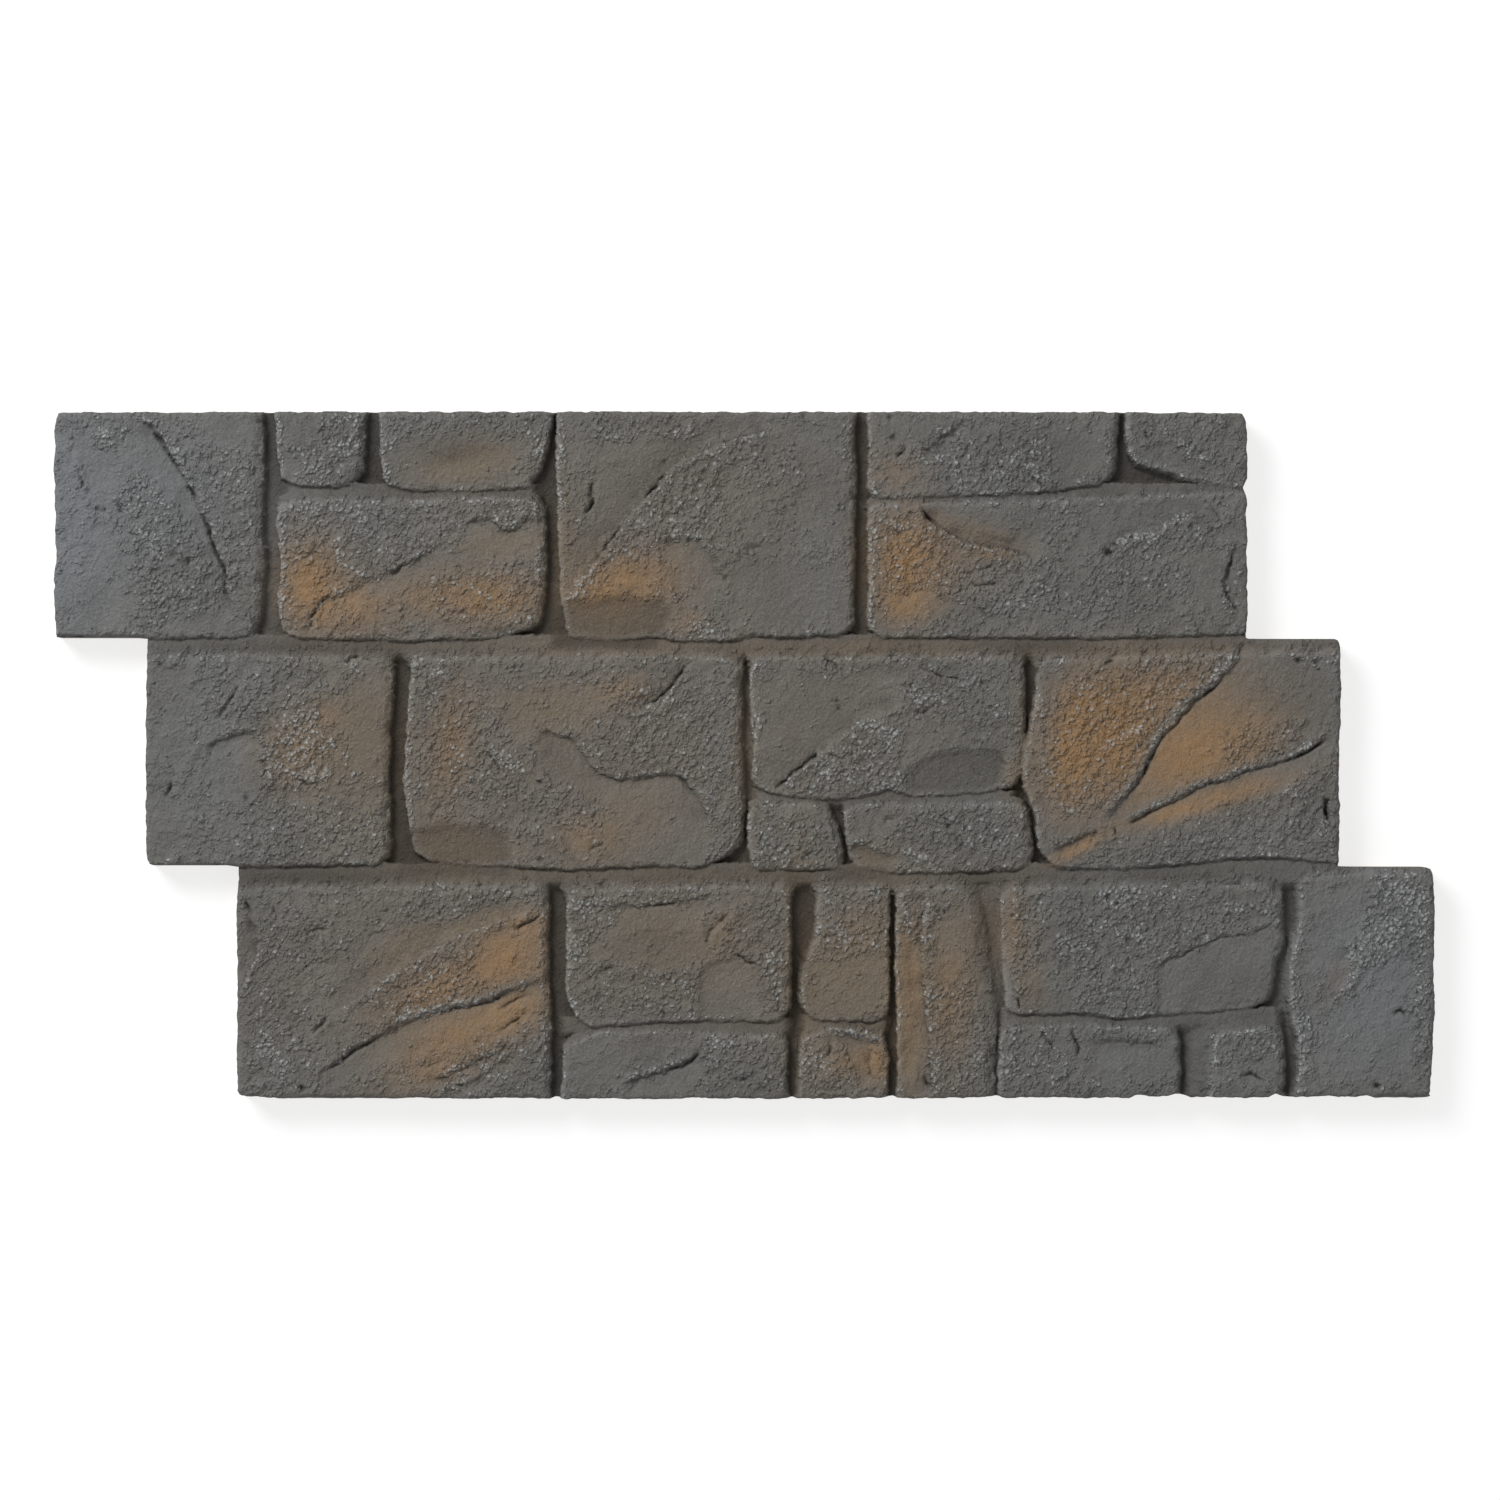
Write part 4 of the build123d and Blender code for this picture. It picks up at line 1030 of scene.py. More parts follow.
# The wide stone, with one thin layer broken off its lower right part
scooped([(1158, 966), (1170, 960), (1182, 957), (1192, 949), (1206, 946), (1228, 937), (1237, 939),
         (1249, 937), (1272, 926), (1290, 955), (1280, 1016), (1158, 1020)], 1.6, 4, 0.12)
crack([(1156, 966), (1170, 959), (1182, 956), (1192, 948), (1206, 944), (1228, 936), (1249, 935),
       (1272, 925)], 2.4, 1.8, fade=0.1)
worn([(1160, 968), (1182, 962), (1230, 945), (1270, 935), (1270, 1004), (1160, 1012)], 0.85)
pit((1108, 898), 3.4, 2.4)
pit((1118, 903), 3.4, 2.4)
pit((1128, 940), 3.0, 1.8)
crack([(1177, 899), (1187, 902)], 2.2, 1.6)
ridge([(1213, 911), (1240, 909), (1271, 910)], 3.0, 0.8)
crack([(1063, 942), (1073, 949), (1082, 941)], 2.6, 2.4)
crack([(1087, 973), (1097, 968), (1101, 961)], 2.6, 2.0)
crack([(1018, 997), (1019, 1010)], 2.4, 2.8)
hollow((1028, 930), (18, 40), 0, 1.2, 0.2)
worn([(1048, 980), (1075, 985), (1070, 1010), (1048, 1010)], 0.5)
rough([(1022, 895), (1042, 895), (1045, 960), (1022, 965)], 0.6)
rough([(1100, 890), (1135, 890), (1132, 912), (1108, 912)], 0.5)
rough([(1045, 890), (1240, 890), (1250, 928), (1200, 942), (1150, 965), (1150, 1005), (1080, 1005),
       (1060, 960)], 0.4)
brushed(brown, (1026, 940), (20, 60), 0.40)
brushed(brown, (1030, 990), (22, 34), 0.35)
brushed(ochre, (1013, 930), (10, 50), 0.30)
for line in [
    ([(1162, 957), (1180, 952), (1200, 942), (1225, 932), (1250, 931)], 4, 0.5),
    ([(1104, 893), (1128, 906)], 6, 0.7), ([(1130, 893), (1160, 895)], 4, 0.6),
    ([(1175, 894), (1188, 898)], 4, 0.7), ([(1216, 910), (1240, 908), (1268, 908)], 4, 0.5),
    ([(1061, 938), (1081, 946)], 5, 0.6), ([(1120, 932), (1140, 938)], 6, 0.6),
    ([(1058, 965), (1062, 975)], 4, 0.5),
    ([(1085, 1011), (1110, 1015), (1140, 1016), (1162, 1012)], 2.5, 0.6),
]:
    frosted(*line)
split([(1012, 880), (1013, 950), (1015, 1020)], 0.9, 13, "left", lip=0, sleek=0.8, fade=0.02)
brushed(bluish, (1010, 985), (7, 50), 0.45)
stone([(1000, 896), (1009, 888), (1120, 886), (1255, 884), (1266, 887), (1276, 895), (1280, 910),
       (1279, 948), (1272, 960), (1270, 995), (1262, 1004), (1240, 1008), (1158, 1015), (1127, 1018),
       (1078, 1012), (1018, 1014), (1006, 1010), (1002, 950)], 36.0, (0.1, 0.0), right=7)

# The first of two small stones under it
crack([(1035, 1025), (1042, 1033), (1050, 1043), (1056, 1054)], 2.4, 2.2)
ridge([(1041, 1029), (1049, 1037), (1060, 1054)], 2.4, 1.2)
crack([(1072, 1025), (1073, 1035), (1078, 1043), (1080, 1051), (1074, 1060)], 2.6, 2.4)
split([(1088, 1047), (1105, 1041), (1130, 1041), (1162, 1043)], 1.1, 20, "below", sleek=0.5)
worn([(1088, 1045), (1150, 1045), (1172, 1047), (1172, 1078), (1090, 1080)], 0.75)
rough([(1003, 1034), (1045, 1034), (1064, 1070), (1060, 1090), (1003, 1090)], 0.45)
rough([(1080, 1082), (1172, 1082), (1172, 1095), (1080, 1095)], 0.35)
frosted([(1043, 1031), (1050, 1040), (1059, 1053)], 3, 0.6)
frosted([(1051, 1080), (1067, 1074)], 4, 0.7)
frosted([(1012, 1060), (1030, 1078)], 8, 0.4)
frosted([(1090, 1082), (1101, 1086)], 5, 0.5)
stone([(1000, 1034), (1010, 1027), (1090, 1025), (1165, 1028), (1176, 1035), (1177, 1070), (1174, 1115),
       (998, 1115)], 35.6, top=7, right=6)

# The second, set off by a wide joint
crack([(1241, 1077), (1250, 1073), (1258, 1077), (1264, 1083)], 2.6, 2.6)
rough([(1216, 1038), (1274, 1034), (1272, 1060), (1220, 1064)], 0.4)
worn([(1230, 1060), (1270, 1060), (1270, 1072), (1232, 1070)], 0.4)
frosted([(1214, 1037), (1240, 1034), (1263, 1030)], 3, 0.8)
frosted([(1277, 1035), (1278, 1062)], 3, 0.6)
frosted([(1216, 1060), (1222, 1080)], 5, 0.4)
stone([(1213, 1042), (1219, 1034), (1265, 1028), (1277, 1032), (1280, 1060), (1278, 1115), (1208, 1115),
       (1213, 1070)], 35.8, top=7, left=21)

# The tall stone at the right end, with a clump of broken grains at its top
split([(1343, 942), (1350, 958), (1356, 966), (1353, 976), (1348, 985), (1338, 993), (1333, 1000),
       (1318, 1010)], 1.7, 24, "left", sleek=0.6)
crack([(1393, 1014), (1400, 1010), (1408, 1015)], 3.4, 3.8)
pit((1378, 1088), 4.0, 3.2)
hollow((1395, 1050), (22, 28), 0, 1.0, 0.4)
worn([(1302, 885), (1370, 880), (1375, 900), (1355, 940), (1345, 960), (1345, 985), (1325, 985),
      (1305, 940)], 0.6)
worn([(1335, 1005), (1400, 965), (1408, 1000), (1408, 1080), (1315, 1085)], 0.6)
rough([(1382, 880), (1425, 886), (1422, 920), (1402, 932), (1395, 950), (1370, 965), (1352, 958),
       (1360, 935), (1370, 905)], 0.7)
rough([(1408, 880), (1432, 880), (1432, 1060), (1412, 1060)], 0.4)
rough([(1296, 1010), (1315, 1010), (1318, 1055), (1302, 1060)], 0.3)
brushed(brown, (1336, 982), (14, 30), 0.30, 30)
frosted([(1388, 884), (1412, 900), (1405, 918), (1385, 935), (1365, 950)], 13, 0.80)
frosted([(1349, 957), (1356, 967), (1353, 977), (1346, 988), (1333, 998)], 3, 0.9)
frosted([(1296, 946), (1297, 975), (1296, 1002)], 5, 0.6)
frosted([(1301, 1013), (1306, 1030), (1308, 1050)], 6, 0.5)
frosted([(1420, 895), (1422, 960), (1421, 1005)], 8, 0.4)
stone([(1299, 886), (1306, 877), (1380, 872), (1455, 872), (1455, 1115), (1292, 1115), (1298, 1090),
       (1300, 1060), (1298, 1035), (1293, 1018), (1289, 1000), (1289, 985), (1290, 965), (1294, 945),
       (1299, 928), (1301, 905)], 36.0, (0.0, 0.0), left=6)

# The wide sprays. Once the stones have their own colours, a few soft sprays are drawn over several of
# them at a time: a bluish mist at both ends, and brown over the middle and along the joints.
for spray in [
    ((66, 520), (60, 170), 0.70), ((150, 500), (110, 130), 0.40), ((230, 480), (120, 110), 0.15),
    ((1375, 980), (110, 160), 0.50), ((1180, 1060), (130, 50), 0.22), ((1230, 840), (110, 28), 0.22),
    ((195, 760), (80, 110), 0.20), ((722, 740), (34, 80), 0.22), ((400, 525), (120, 30), 0.15),
    ((1290, 650), (60, 16), 0.30),
]:
    brushed(bluish, *spray)
for spray in [
    ((560, 560), (260, 120), 0.30), ((700, 470), (160, 90), 0.20), ((450, 760), (150, 130), 0.30),
    ((640, 760), (200, 130), 0.35), ((350, 760), (60, 130), 0.35), ((860, 720), (150, 110), 0.20),
    ((1200, 750), (190, 130), 0.25), ((400, 980), (220, 140), 0.30), ((680, 950), (160, 90), 0.40),
    ((860, 980), (150, 140), 0.45), ((990, 930), (30, 60), 0.60), ((900, 648), (620, 12), 0.55),
    ((650, 876), (420, 12), 0.40), ((560, 560), (16, 120), 0.50), ((862, 560), (14, 90), 0.75),
    ((862, 440), (14, 60), 0.35), ((398, 750), (16, 120), 0.60), ((744, 750), (14, 120), 0.60),
    ((1028, 740), (16, 120), 0.45), ((800, 960), (18, 150), 0.80), ((892, 1000), (14, 120), 0.50),
    ((612, 618), (60, 22), 0.55), ((455, 852), (60, 26), 0.50),
]:
    brushed(brown, *spray)

# The dark wash. It is brushed into the joints and wiped off the faces, so it stays as a stain in the
# wider joints and in a few hollows, and some of the upright joints got hardly any of it.
for spray in [
    ((300, 877), (170, 16), 0.95), ((800, 950), (14, 80), 1.0), ((984, 945), (18, 70), 0.60),
    ((260, 647), (150, 11), 0.70), ((355, 647), (90, 11), 0.55), ((470, 647), (36, 10), 0.40),
    ((600, 876), (50, 12), 0.35), ((910, 877), (40, 10), 0.30), ((700, 875), (160, 11), 0.45),
    ((835, 876), (60, 12), 0.60), ((985, 877), (50, 12), 0.70), ((1130, 876), (190, 12), 0.35),
    ((735, 647), (45, 10), 0.50), ((1030, 646), (90, 10), 0.85), ((450, 452), (60, 22), 0.62),
    ((565, 765), (50, 30), 0.35, 30), ((366, 725), (26, 70), 0.30), ((1250, 985), (60, 34), 0.30, -18),
    ((1130, 470), (60, 40), 0.25), ((1000, 450), (110, 40), 0.42), ((1190, 445), (70, 40), 0.20),
    ((650, 940), (70, 34), 0.44),
]:
    brushed(stain_and_shade, *spray)
for spray in [
    ((266, 560), (18, 130), 0.80), ((860, 560), (14, 130), 0.25), ((745, 750), (14, 130), 0.95),
    ((1282, 960), (16, 120), 0.80), ((600, 647), (90, 12), 0.80), ((556, 590), (12, 60), 0.30),
]:
    brushed(thinned_wash, *spray)

# The broken grain of the stones. Between its splits a stone breaks into small lumps, and even a worn
# bed rolls a little, so the whole face is uneven. The finer grain is left to the painted surface.
surface -= (1 - face_share) * under_edge * (2.0 + 1.2 * hills(45, 30))
lumps = (
    1.7 * np.abs(hills(18, 31))
    + 1.5 * np.maximum(0, hills(8, 32) - 0.1)
    + 0.7 * hills(5, 33)
)
bed_slant = math.radians(35)
along_beds = plan_x * math.cos(bed_slant) - plan_y * math.sin(bed_slant)
across_beds = plan_x * math.sin(bed_slant) + plan_y * math.cos(bed_slant)
beds = (
    0.7 * rolling(along_beds * 0.3, across_beds, 9, 38)
    + 0.5 * rolling(along_beds * 0.35, across_beds, 20, 39)
)
rolls = 0.5 * hills(60, 34) + 0.42 * hills(22, 35)
ruggedness = np.clip(ruggedness * (1 + 0.35 * hills(30, 36)), 0.05, 1.3)
surface += face_share * (rolls + (0.15 + 0.6 * ruggedness) * beds + ruggedness * (lumps - 0.5))
surface += (1 - face_share) * 0.25 * hills(5, 37)

# The rim of the panel. The moulding comes out with its ends a little wavy and its corners rounded off,
# and along the lower edge the face breaks away here and there, so that the bare foam under it shows.
left_wave = [[(411, 4.5), (425, 1.5), (470, 1.0), (560, 3.0), (575, 0.6), (638.5, 3.0)],
             [(638.5, 2.5), (676, 1.5), (756, 0.5), (853, 1.0), (867, 4.0)],
             [(867, 2.0), (920, 0.5), (1000, 1.5), (1060, 0.8), (1100, 2.0)]]
right_wave = [[(411, 3.0), (424, 1.5), (450, 0.6), (478, 1.0), (487, 4.5), (497, 1.5), (540, 1.0),
               (600, 0.6), (638.5, 2.0)],
              [(638.5, 2.0), (693, 0.8), (735, 2.2), (765, 3.0), (838, 2.5), (867, 4.0)],
              [(867, 2.5), (924, 1.0), (975, 2.5), (1006, 1.0), (1060, 4.0), (1087, 6.0), (1100, 8.0)]]
bottom_wave = [(236, 4.0), (270, 2.5), (300, 3.2), (360, 3.4), (400, 2.0), (470, 1.2), (520, 2.6),
               (545, 1.2), (556, 3.0), (566, 1.4), (640, 1.0), (690, 2.0), (780, 1.2), (792, 3.2),
               (800, 1.6), (880, 2.0), (893, 3.4), (905, 1.4), (985, 2.6), (996, 4.2), (1003, 2.6),
               (1128, 2.0), (1136, 5.0), (1150, 3.0), (1166, 3.6), (1180, 6.6), (1192, 3.0), (1268, 2.4),
               (1276, 6.4), (1288, 3.0), (1376, 3.2), (1386, 5.2), (1412, 4.6), (1436, 6.0)]
top_wave = [(53, 1.4), (160, 1.2), (300, 0.8), (460, 0.6), (700, 0.9), (900, 0.6), (1100, 1.2),
            (1248, 1.6)]
ledge_wave = [1.4, 1.8]
corner_cut = [(0, "left", "top", 7), (0, "right", "top", 13), (0, "left", "bottom", 5),
              (1, "right", "top", 9), (1, "left", "bottom", 10), (2, "right", "top", 12),
              (2, "left", "bottom", 13), (2, "right", "bottom", 9)]
rim_reach = 26.0
least_inset = 0.15


def wave(stops, at):
    """A smooth line through the stops of a wave, with a little roughness of its own."""
    line = np.interp(at, [place for place, _ in stops], [inset for _, inset in stops])
    own = 0 * at + len(stops)
    nicks = rolling(at, own, 9, 41) * (0.7 + 0.9 * rolling(at, own, 60, 42))
    nicks = nicks + 0.9 * rolling(at, own, 24, 44)
    return np.maximum(line + nicks + 0.35 * rolling(at, own, 4, 43), least_inset)


def drawn_in(x, y, share):
    """Moves the points near the rim in to the wavy edge of the face."""
    course = np.clip(np.searchsorted(course_edge, y, side="right") - 1, 0, 2)
    left = np.take(course_left, course)
    right = np.take(course_right, course)
    shift_x, shift_y = np.zeros_like(x), np.zeros_like(y)
    for index in range(3):
        here = course == index
        shift_x += here * wave(left_wave[index], y) * np.clip(1 - (x - left) / rim_reach, 0, 1) ** 2
        shift_x -= here * wave(right_wave[index], y) * np.clip(1 - (right - x) / rim_reach, 0, 1) ** 2
    shift_y += wave(top_wave, x) * np.clip(1 - (y - course_edge[0]) / rim_reach, 0, 1) ** 2
    shift_y -= wave(bottom_wave, x) * np.clip(1 - (course_edge[3] - y) / rim_reach, 0, 1) ** 2
    for index, inset in enumerate(ledge_wave):
        edge = course_edge[index + 1]
        fade = np.clip(1 - np.abs(edge - y) / rim_reach, 0, 1) ** 2
        shift_y -= inset * fade * (y <= edge) * np.clip((course_left[index + 1] - x) / 12, 0, 1)
        shift_y += 0.3 * fade * (y >= edge) * np.clip((x - course_right[index]) / 12, 0, 1)
    x, y = x + shift_x * share, y + shift_y * share
    for index, side, level, radius in corner_cut:
        corner_x = course_left[index] if side == "left" else course_right[index]
        corner_y = course_edge[index] if level == "top" else course_edge[index + 1]
        into_x = 1 if side == "left" else -1
        into_y = 1 if level == "top" else -1
        back_x = 1 - (x - corner_x) * into_x / radius
        back_y = 1 - (y - corner_y) * into_y / radius
        turns = (back_x > 0) & (back_y > 0) & (back_x < 1.2) & (back_y < 1.2)
        round_x = back_x * np.sqrt(np.clip(1 - back_y ** 2 / 2, 0, 1))
        round_y = back_y * np.sqrt(np.clip(1 - back_x ** 2 / 2, 0, 1))
        x = np.where(turns, corner_x + (1 - round_x) * radius * into_x, x)
        y = np.where(turns, corner_y + (1 - round_y) * radius * into_y, y)
    return x, y


no_edge = 99


def rim_gap(x, y):
    """How far each point lies in from the edge of the stepped plan."""
    gap = np.full_like(x, outside)
    for index in range(3):
        from_left = x - course_left[index]
        from_right = course_right[index] - x
        top, bottom = course_edge[index], course_edge[index + 1]
        under_course = (index > 0) & (x < course_right[max(index - 1, 0)])
        over_course = (index < 2) & (x > course_left[min(index + 1, 2)])
        from_top = np.where(under_course, y - course_edge[0] + no_edge, y - top)
        from_bottom = np.where(over_course, course_edge[3] - y + no_edge, bottom - y)
        here = np.minimum(np.minimum(from_left, from_right), np.minimum(from_top, from_bottom))
        gap = np.where((y >= top) & (y <= bottom), np.maximum(gap, here), gap)
    return gap


rim_in = rim_gap(plan_x, plan_y)
rim_fall = 1.6
rim_fall_reach = 5.0
lowest = 20.0
highest = (cad_high.z - cad_low.z) / millimetre - 0.05
surface -= rim_fall * np.clip(1 - rim_in / rim_fall_reach, 0, 1) ** 2 * ease((surface - joint_floor) / 6)
surface = np.clip(surface, lowest, highest)


def to_frame(x, y):
    """From pixels of the photograph to metres on the panel."""
    return (x - plan_middle[0]) * pixel, (plan_middle[1] - y) * pixel


# The moulded body itself: the carved face, the sides and the flat back, closed into one skin. It is
# made on a fine even grid, and then thinned out where it is smooth, so that the breaks stay sharp.
face_x, face_y = drawn_in(plan_x, plan_y, 1.0)
metre_x, metre_y = to_frame(face_x, face_y)
points = np.stack([metre_x, metre_y, surface * millimetre + cad_low.z], -1).reshape(-1, 3)
cell_x = (grid_x[:-1] + grid_x[1:]) / 2
cell_y = (grid_y[:-1] + grid_y[1:]) / 2
cell_course = np.searchsorted(course_edge, cell_y) - 1
in_plan = (cell_x[None, :] > np.take(course_left, cell_course)[:, None]) & (
    cell_x[None, :] < np.take(course_right, cell_course)[:, None]
)
cell_row, cell_column = np.nonzero(in_plan)
stride = len(grid_x)
first = cell_row * stride + cell_column
quads = np.stack([first, first + stride, first + stride + 1, first + 1], 1)


def grid_run(x0, y0, x1, y1):
    """The grid points from one corner of the plan towards the next, without the last."""
    columns = np.searchsorted(grid_x, [x0, x1])
    rows = np.searchsorted(grid_y, [y0, y1])
    if x0 == x1:
        step = 1 if rows[1] > rows[0] else -1
        return [row * stride + columns[0] for row in range(rows[0], rows[1], step)]
    step = 1 if columns[1] > columns[0] else -1
    return [rows[0] * stride + column for column in range(columns[0], columns[1], step)]


plan_corners = [
    (course_left[0], course_edge[0]), (course_right[0], course_edge[0]),
    (course_right[0], course_edge[1]), (course_right[1], course_edge[1]),
    (course_right[1], course_edge[2]), (course_right[2], course_edge[2]),
    (course_right[2], course_edge[3]), (course_left[2], course_edge[3]),
    (course_left[2], course_edge[2]), (course_left[1], course_edge[2]),
    (course_left[1], course_edge[1]), (course_left[0], course_edge[1]),
]
rim = []
for start, end in zip(plan_corners, plan_corners[1:] + plan_corners[:1]):
    rim += grid_run(*start, *end)
rim = np.array(rim)

# The side rows: first a rounded lip, then straight down to the back, with the bare foam standing out
# a little further than the face along the lower edge
rim_x, rim_y = plan_x.reshape(-1)[rim], plan_y.reshape(-1)[rim]
front_x, front_y = face_x.reshape(-1)[rim], face_y.reshape(-1)[rim]
back_x, back_y = drawn_in(rim_x, rim_y, 0.0)
foam_left, foam_right, foam_corner = 270, 404, 1370
foam_shows = ease((rim_x - foam_left) / 10) * ease((foam_right - rim_x) / 10)
foam_shows = foam_shows + ease((rim_x - foam_corner) / 8)
kept_wave = np.where(rim_y >= course_edge[3] - 0.5, 0.95 - 0.6 * np.clip(foam_shows, 0, 1), 0.75)
front_height = surface.reshape(-1)[rim]
side_rows = [(0.35, 0.030), (0.65, 0.075), (0.9, 0.15)]
side_rows += [(1.0, down) for down in (0.26, 0.40, 0.55, 0.70, 0.86, 1.0)]
side_bump = 0.45
rows = [points]
sheets = [quads]
above = rim
count = len(points)
for number, (out, down) in enumerate(side_rows):
    lip_x = front_x + (back_x - front_x) * (1 - kept_wave) * out
    lip_y = front_y + (back_y - front_y) * (1 - kept_wave) * out
    bumps = side_bump * rolling(rim_x + rim_y * 0.7, rim_y * 0 + number * 6.0, 7, 51)
    toward_x, toward_y = plan_middle[0] - lip_x, plan_middle[1] - lip_y
    reach = np.hypot(toward_x, toward_y)
    inward = np.abs(bumps) * (1 if 0 < number < len(side_rows) - 1 else 0)
    row_x, row_y = to_frame(lip_x + toward_x / reach * inward, lip_y + toward_y / reach * inward)
    row_z = front_height * millimetre * (1 - down) + cad_low.z
    rows.append(np.stack([row_x, row_y, row_z], 1))
    below = count + np.arange(len(rim))
    sheets.append(np.stack([above, np.roll(above, -1), np.roll(below, -1), below], 1))
    above = below
    count += len(rim)
points = np.concatenate(rows)
quads = np.concatenate(sheets)
used, quads = np.unique(quads, return_inverse=True)
points = points[used]
quads = quads.reshape(-1, 4)


def skin(name, corners, faces):
    """A mesh of quads from arrays."""
    mesh = bpy.data.meshes.new(name)
    mesh.vertices.add(len(corners))
    mesh.vertices.foreach_set("co", corners.astype(np.float32).ravel())
    mesh.loops.add(faces.size)
    mesh.loops.foreach_set("vertex_index", faces.astype(np.int32).ravel())
    mesh.polygons.add(len(faces))
    mesh.polygons.foreach_set("loop_start", np.arange(0, faces.size, 4, dtype=np.int32))
    mesh.update(calc_edges=True)
    return mesh


most_triangles = 190_000
sharp_edge = math.radians(75)
full = bpy.data.objects.new("carved_skin", skin("carved_skin", points, quads))
bpy.context.scene.collection.objects.link(full)
thinning = full.modifiers.new("thinning", "DECIMATE")
thinning.ratio = min(1.0, most_triangles / (2 * len(quads)))
thinned = bpy.data.meshes.new_from_object(full.evaluated_get(bpy.context.evaluated_depsgraph_get()))
bpy.data.objects.remove(full)

# The flat back closes the skin
body = bmesh.new()
body.from_mesh(thinned)
open_edges = [edge for edge in body.edges if edge.is_boundary]
for vertex in {vertex for edge in open_edges for vertex in edge.verts}:
    vertex.co.z = cad_low.z
bmesh.ops.triangle_fill(body, edges=open_edges, use_beauty=True)
bmesh.ops.recalc_face_normals(body, faces=body.faces)
for face in body.faces:
    face.smooth = True
for edge in body.edges:
    if len(edge.link_faces) == 2 and edge.calc_face_angle(0) > sharp_edge:
        edge.smooth = False
thinned.clear_geometry()
body.to_mesh(thinned)
body.free()
panel = bpy.data.objects.new("stone_panel", thinned)
bpy.context.scene.collection.objects.link(panel)

# The paint of the panel, which is the finish of the whole face: a grey coat, a dark brown wash in the
# joints, soft ochre and brown patches, a bluish mist at both ends, and pale paint dry-brushed over
# the broken spots. With them go painted shade in hollows, pits and scoops and under the lower edges
# of the stones, and painted highlights on crumb tops and on the arrises that face the lamp. The
# arrays of the carving are brought to the points of the finished skin.


def smoothed(values, reach):
    """The values blurred over a reach in pixels."""
    size = max(1, round(reach / grid_pitch))
    for axis in (0, 1):
        for _ in range(2):
            padded = np.pad(values, [(size, size) if a == axis else (0, 0) for a in (0, 1)], mode="edge")
            total = np.cumsum(padded, axis=axis)
            total = np.insert(total, 0, 0, axis=axis)
            upper = np.take(total, range(2 * size + 1, total.shape[axis]), axis=axis)
            lower = np.take(total, range(0, total.shape[axis] - 2 * size - 1), axis=axis)
            values = (upper - lower) / (2 * size + 1)
    return values


# Where the wash and the painted shade lie: wash in the joints and on the upper slopes, wash and
# painted shade in hollows, and a painted shadow under the edges of stones
on_face = ease(face_share * 3 - 1.8)
hollowness = np.clip((smoothed(surface, 4) - surface) / 1.6, -1, 1) * on_face
hollowness = np.maximum(hollowness, stain_and_shade)
joint_wash_and_shade = ease((32.5 - surface) / 3.5) * (1 - ease((face_share - 0.45) * 5))
on_strip = ease((smoothed(strip_share, 2) - 0.3) * 2) * (1 - on_face)
on_strip = np.maximum(on_strip, bed_share * (1 - on_face))
strip_wash = on_strip * (0.38 + 0.14 * hills(50, 62))
joint_wash_and_shade = np.maximum(joint_wash_and_shade * (1 - 0.6 * on_strip), strip_wash)
joint_wash_and_shade *= 1 - thinned_wash
joint_wash_and_shade = np.maximum(joint_wash_and_shade, 0.75 * stain_and_shade ** 2 * (1 - on_face))
# A painted shadow under the lower edge of each stone
under_edge_shadow = under_edge * (0.62 + 0.35 * hills(60, 63)) * (1 - on_face)
joint_wash_and_shade = np.clip(np.maximum(joint_wash_and_shade, under_edge_shadow), 0, 1)
# A painted highlight along the arrises that face the lamp, also laid into the pale paint of the crumbs
arris_highlight = rim_light * np.clip(0.75 + 0.55 * hills(16, 64), 0, 1) * on_face
rim_frost_and_highlight = rim_light * (0.8 + 0.7 * hills(22, 61))
frost_and_highlight = np.clip(frost_and_highlight + rim_frost_and_highlight, 0, 1.2) * on_face

# The points of the finished skin, and where each of them was before the rim was drawn in
places = np.empty(len(thinned.vertices) * 3, np.float32)
thinned.vertices.foreach_get("co", places)
places = places.reshape(-1, 3)
seen_x = places[:, 0] / pixel + plan_middle[0]
seen_y = plan_middle[1] - places[:, 1] / pixel
from_x, from_y = seen_x.astype(float), seen_y.astype(float)
for _ in range(3):
    moved_x, moved_y = drawn_in(from_x, from_y, 1.0)
    from_x, from_y = from_x + seen_x - moved_x, from_y + seen_y - moved_y
from_x = np.clip(from_x, grid_x[0], grid_x[-1])
from_y = np.clip(from_y, grid_y[0], grid_y[-1])


def sampled(values):
    """The values of a grid array at the points of the finished skin."""
    column = np.clip(np.searchsorted(grid_x, from_x) - 1, 0, len(grid_x) - 2)
    row = np.clip(np.searchsorted(grid_y, from_y) - 1, 0, len(grid_y) - 2)
    u = (from_x - grid_x[column]) / (grid_x[column + 1] - grid_x[column])
    v = (from_y - grid_y[row]) / (grid_y[row + 1] - grid_y[row])
    upper = values[row, column] * (1 - u) + values[row, column + 1] * u
    lower = values[row + 1, column] * (1 - u) + values[row + 1, column + 1] * u
    return upper * (1 - v) + lower * v


on_side = np.clip(1 - (sampled(rim_in) - 0.2) / 1.5, 0, 1)


def painted(name, channels):
    """Stores four arrays as the channels of one colour attribute."""
    attribute = thinned.attributes.new(name, "FLOAT_COLOR", "POINT")
    attribute.data.foreach_set("color", np.stack(channels, 1).astype(np.float32).ravel())


painted("tints", [sampled(ochre), sampled(brown), sampled(bluish), sampled(joint_wash_and_shade)])
painted("edges", [sampled(arris_highlight)] * 4)
painted("grain", [
    np.clip(sampled(ruggedness) * sampled(ease(face_share * 2)), 0, 1.3),
    np.clip(sampled(frost_and_highlight), 0, 1.2),
    0.5 + 0.5 * sampled(hollowness),
    on_side,
])

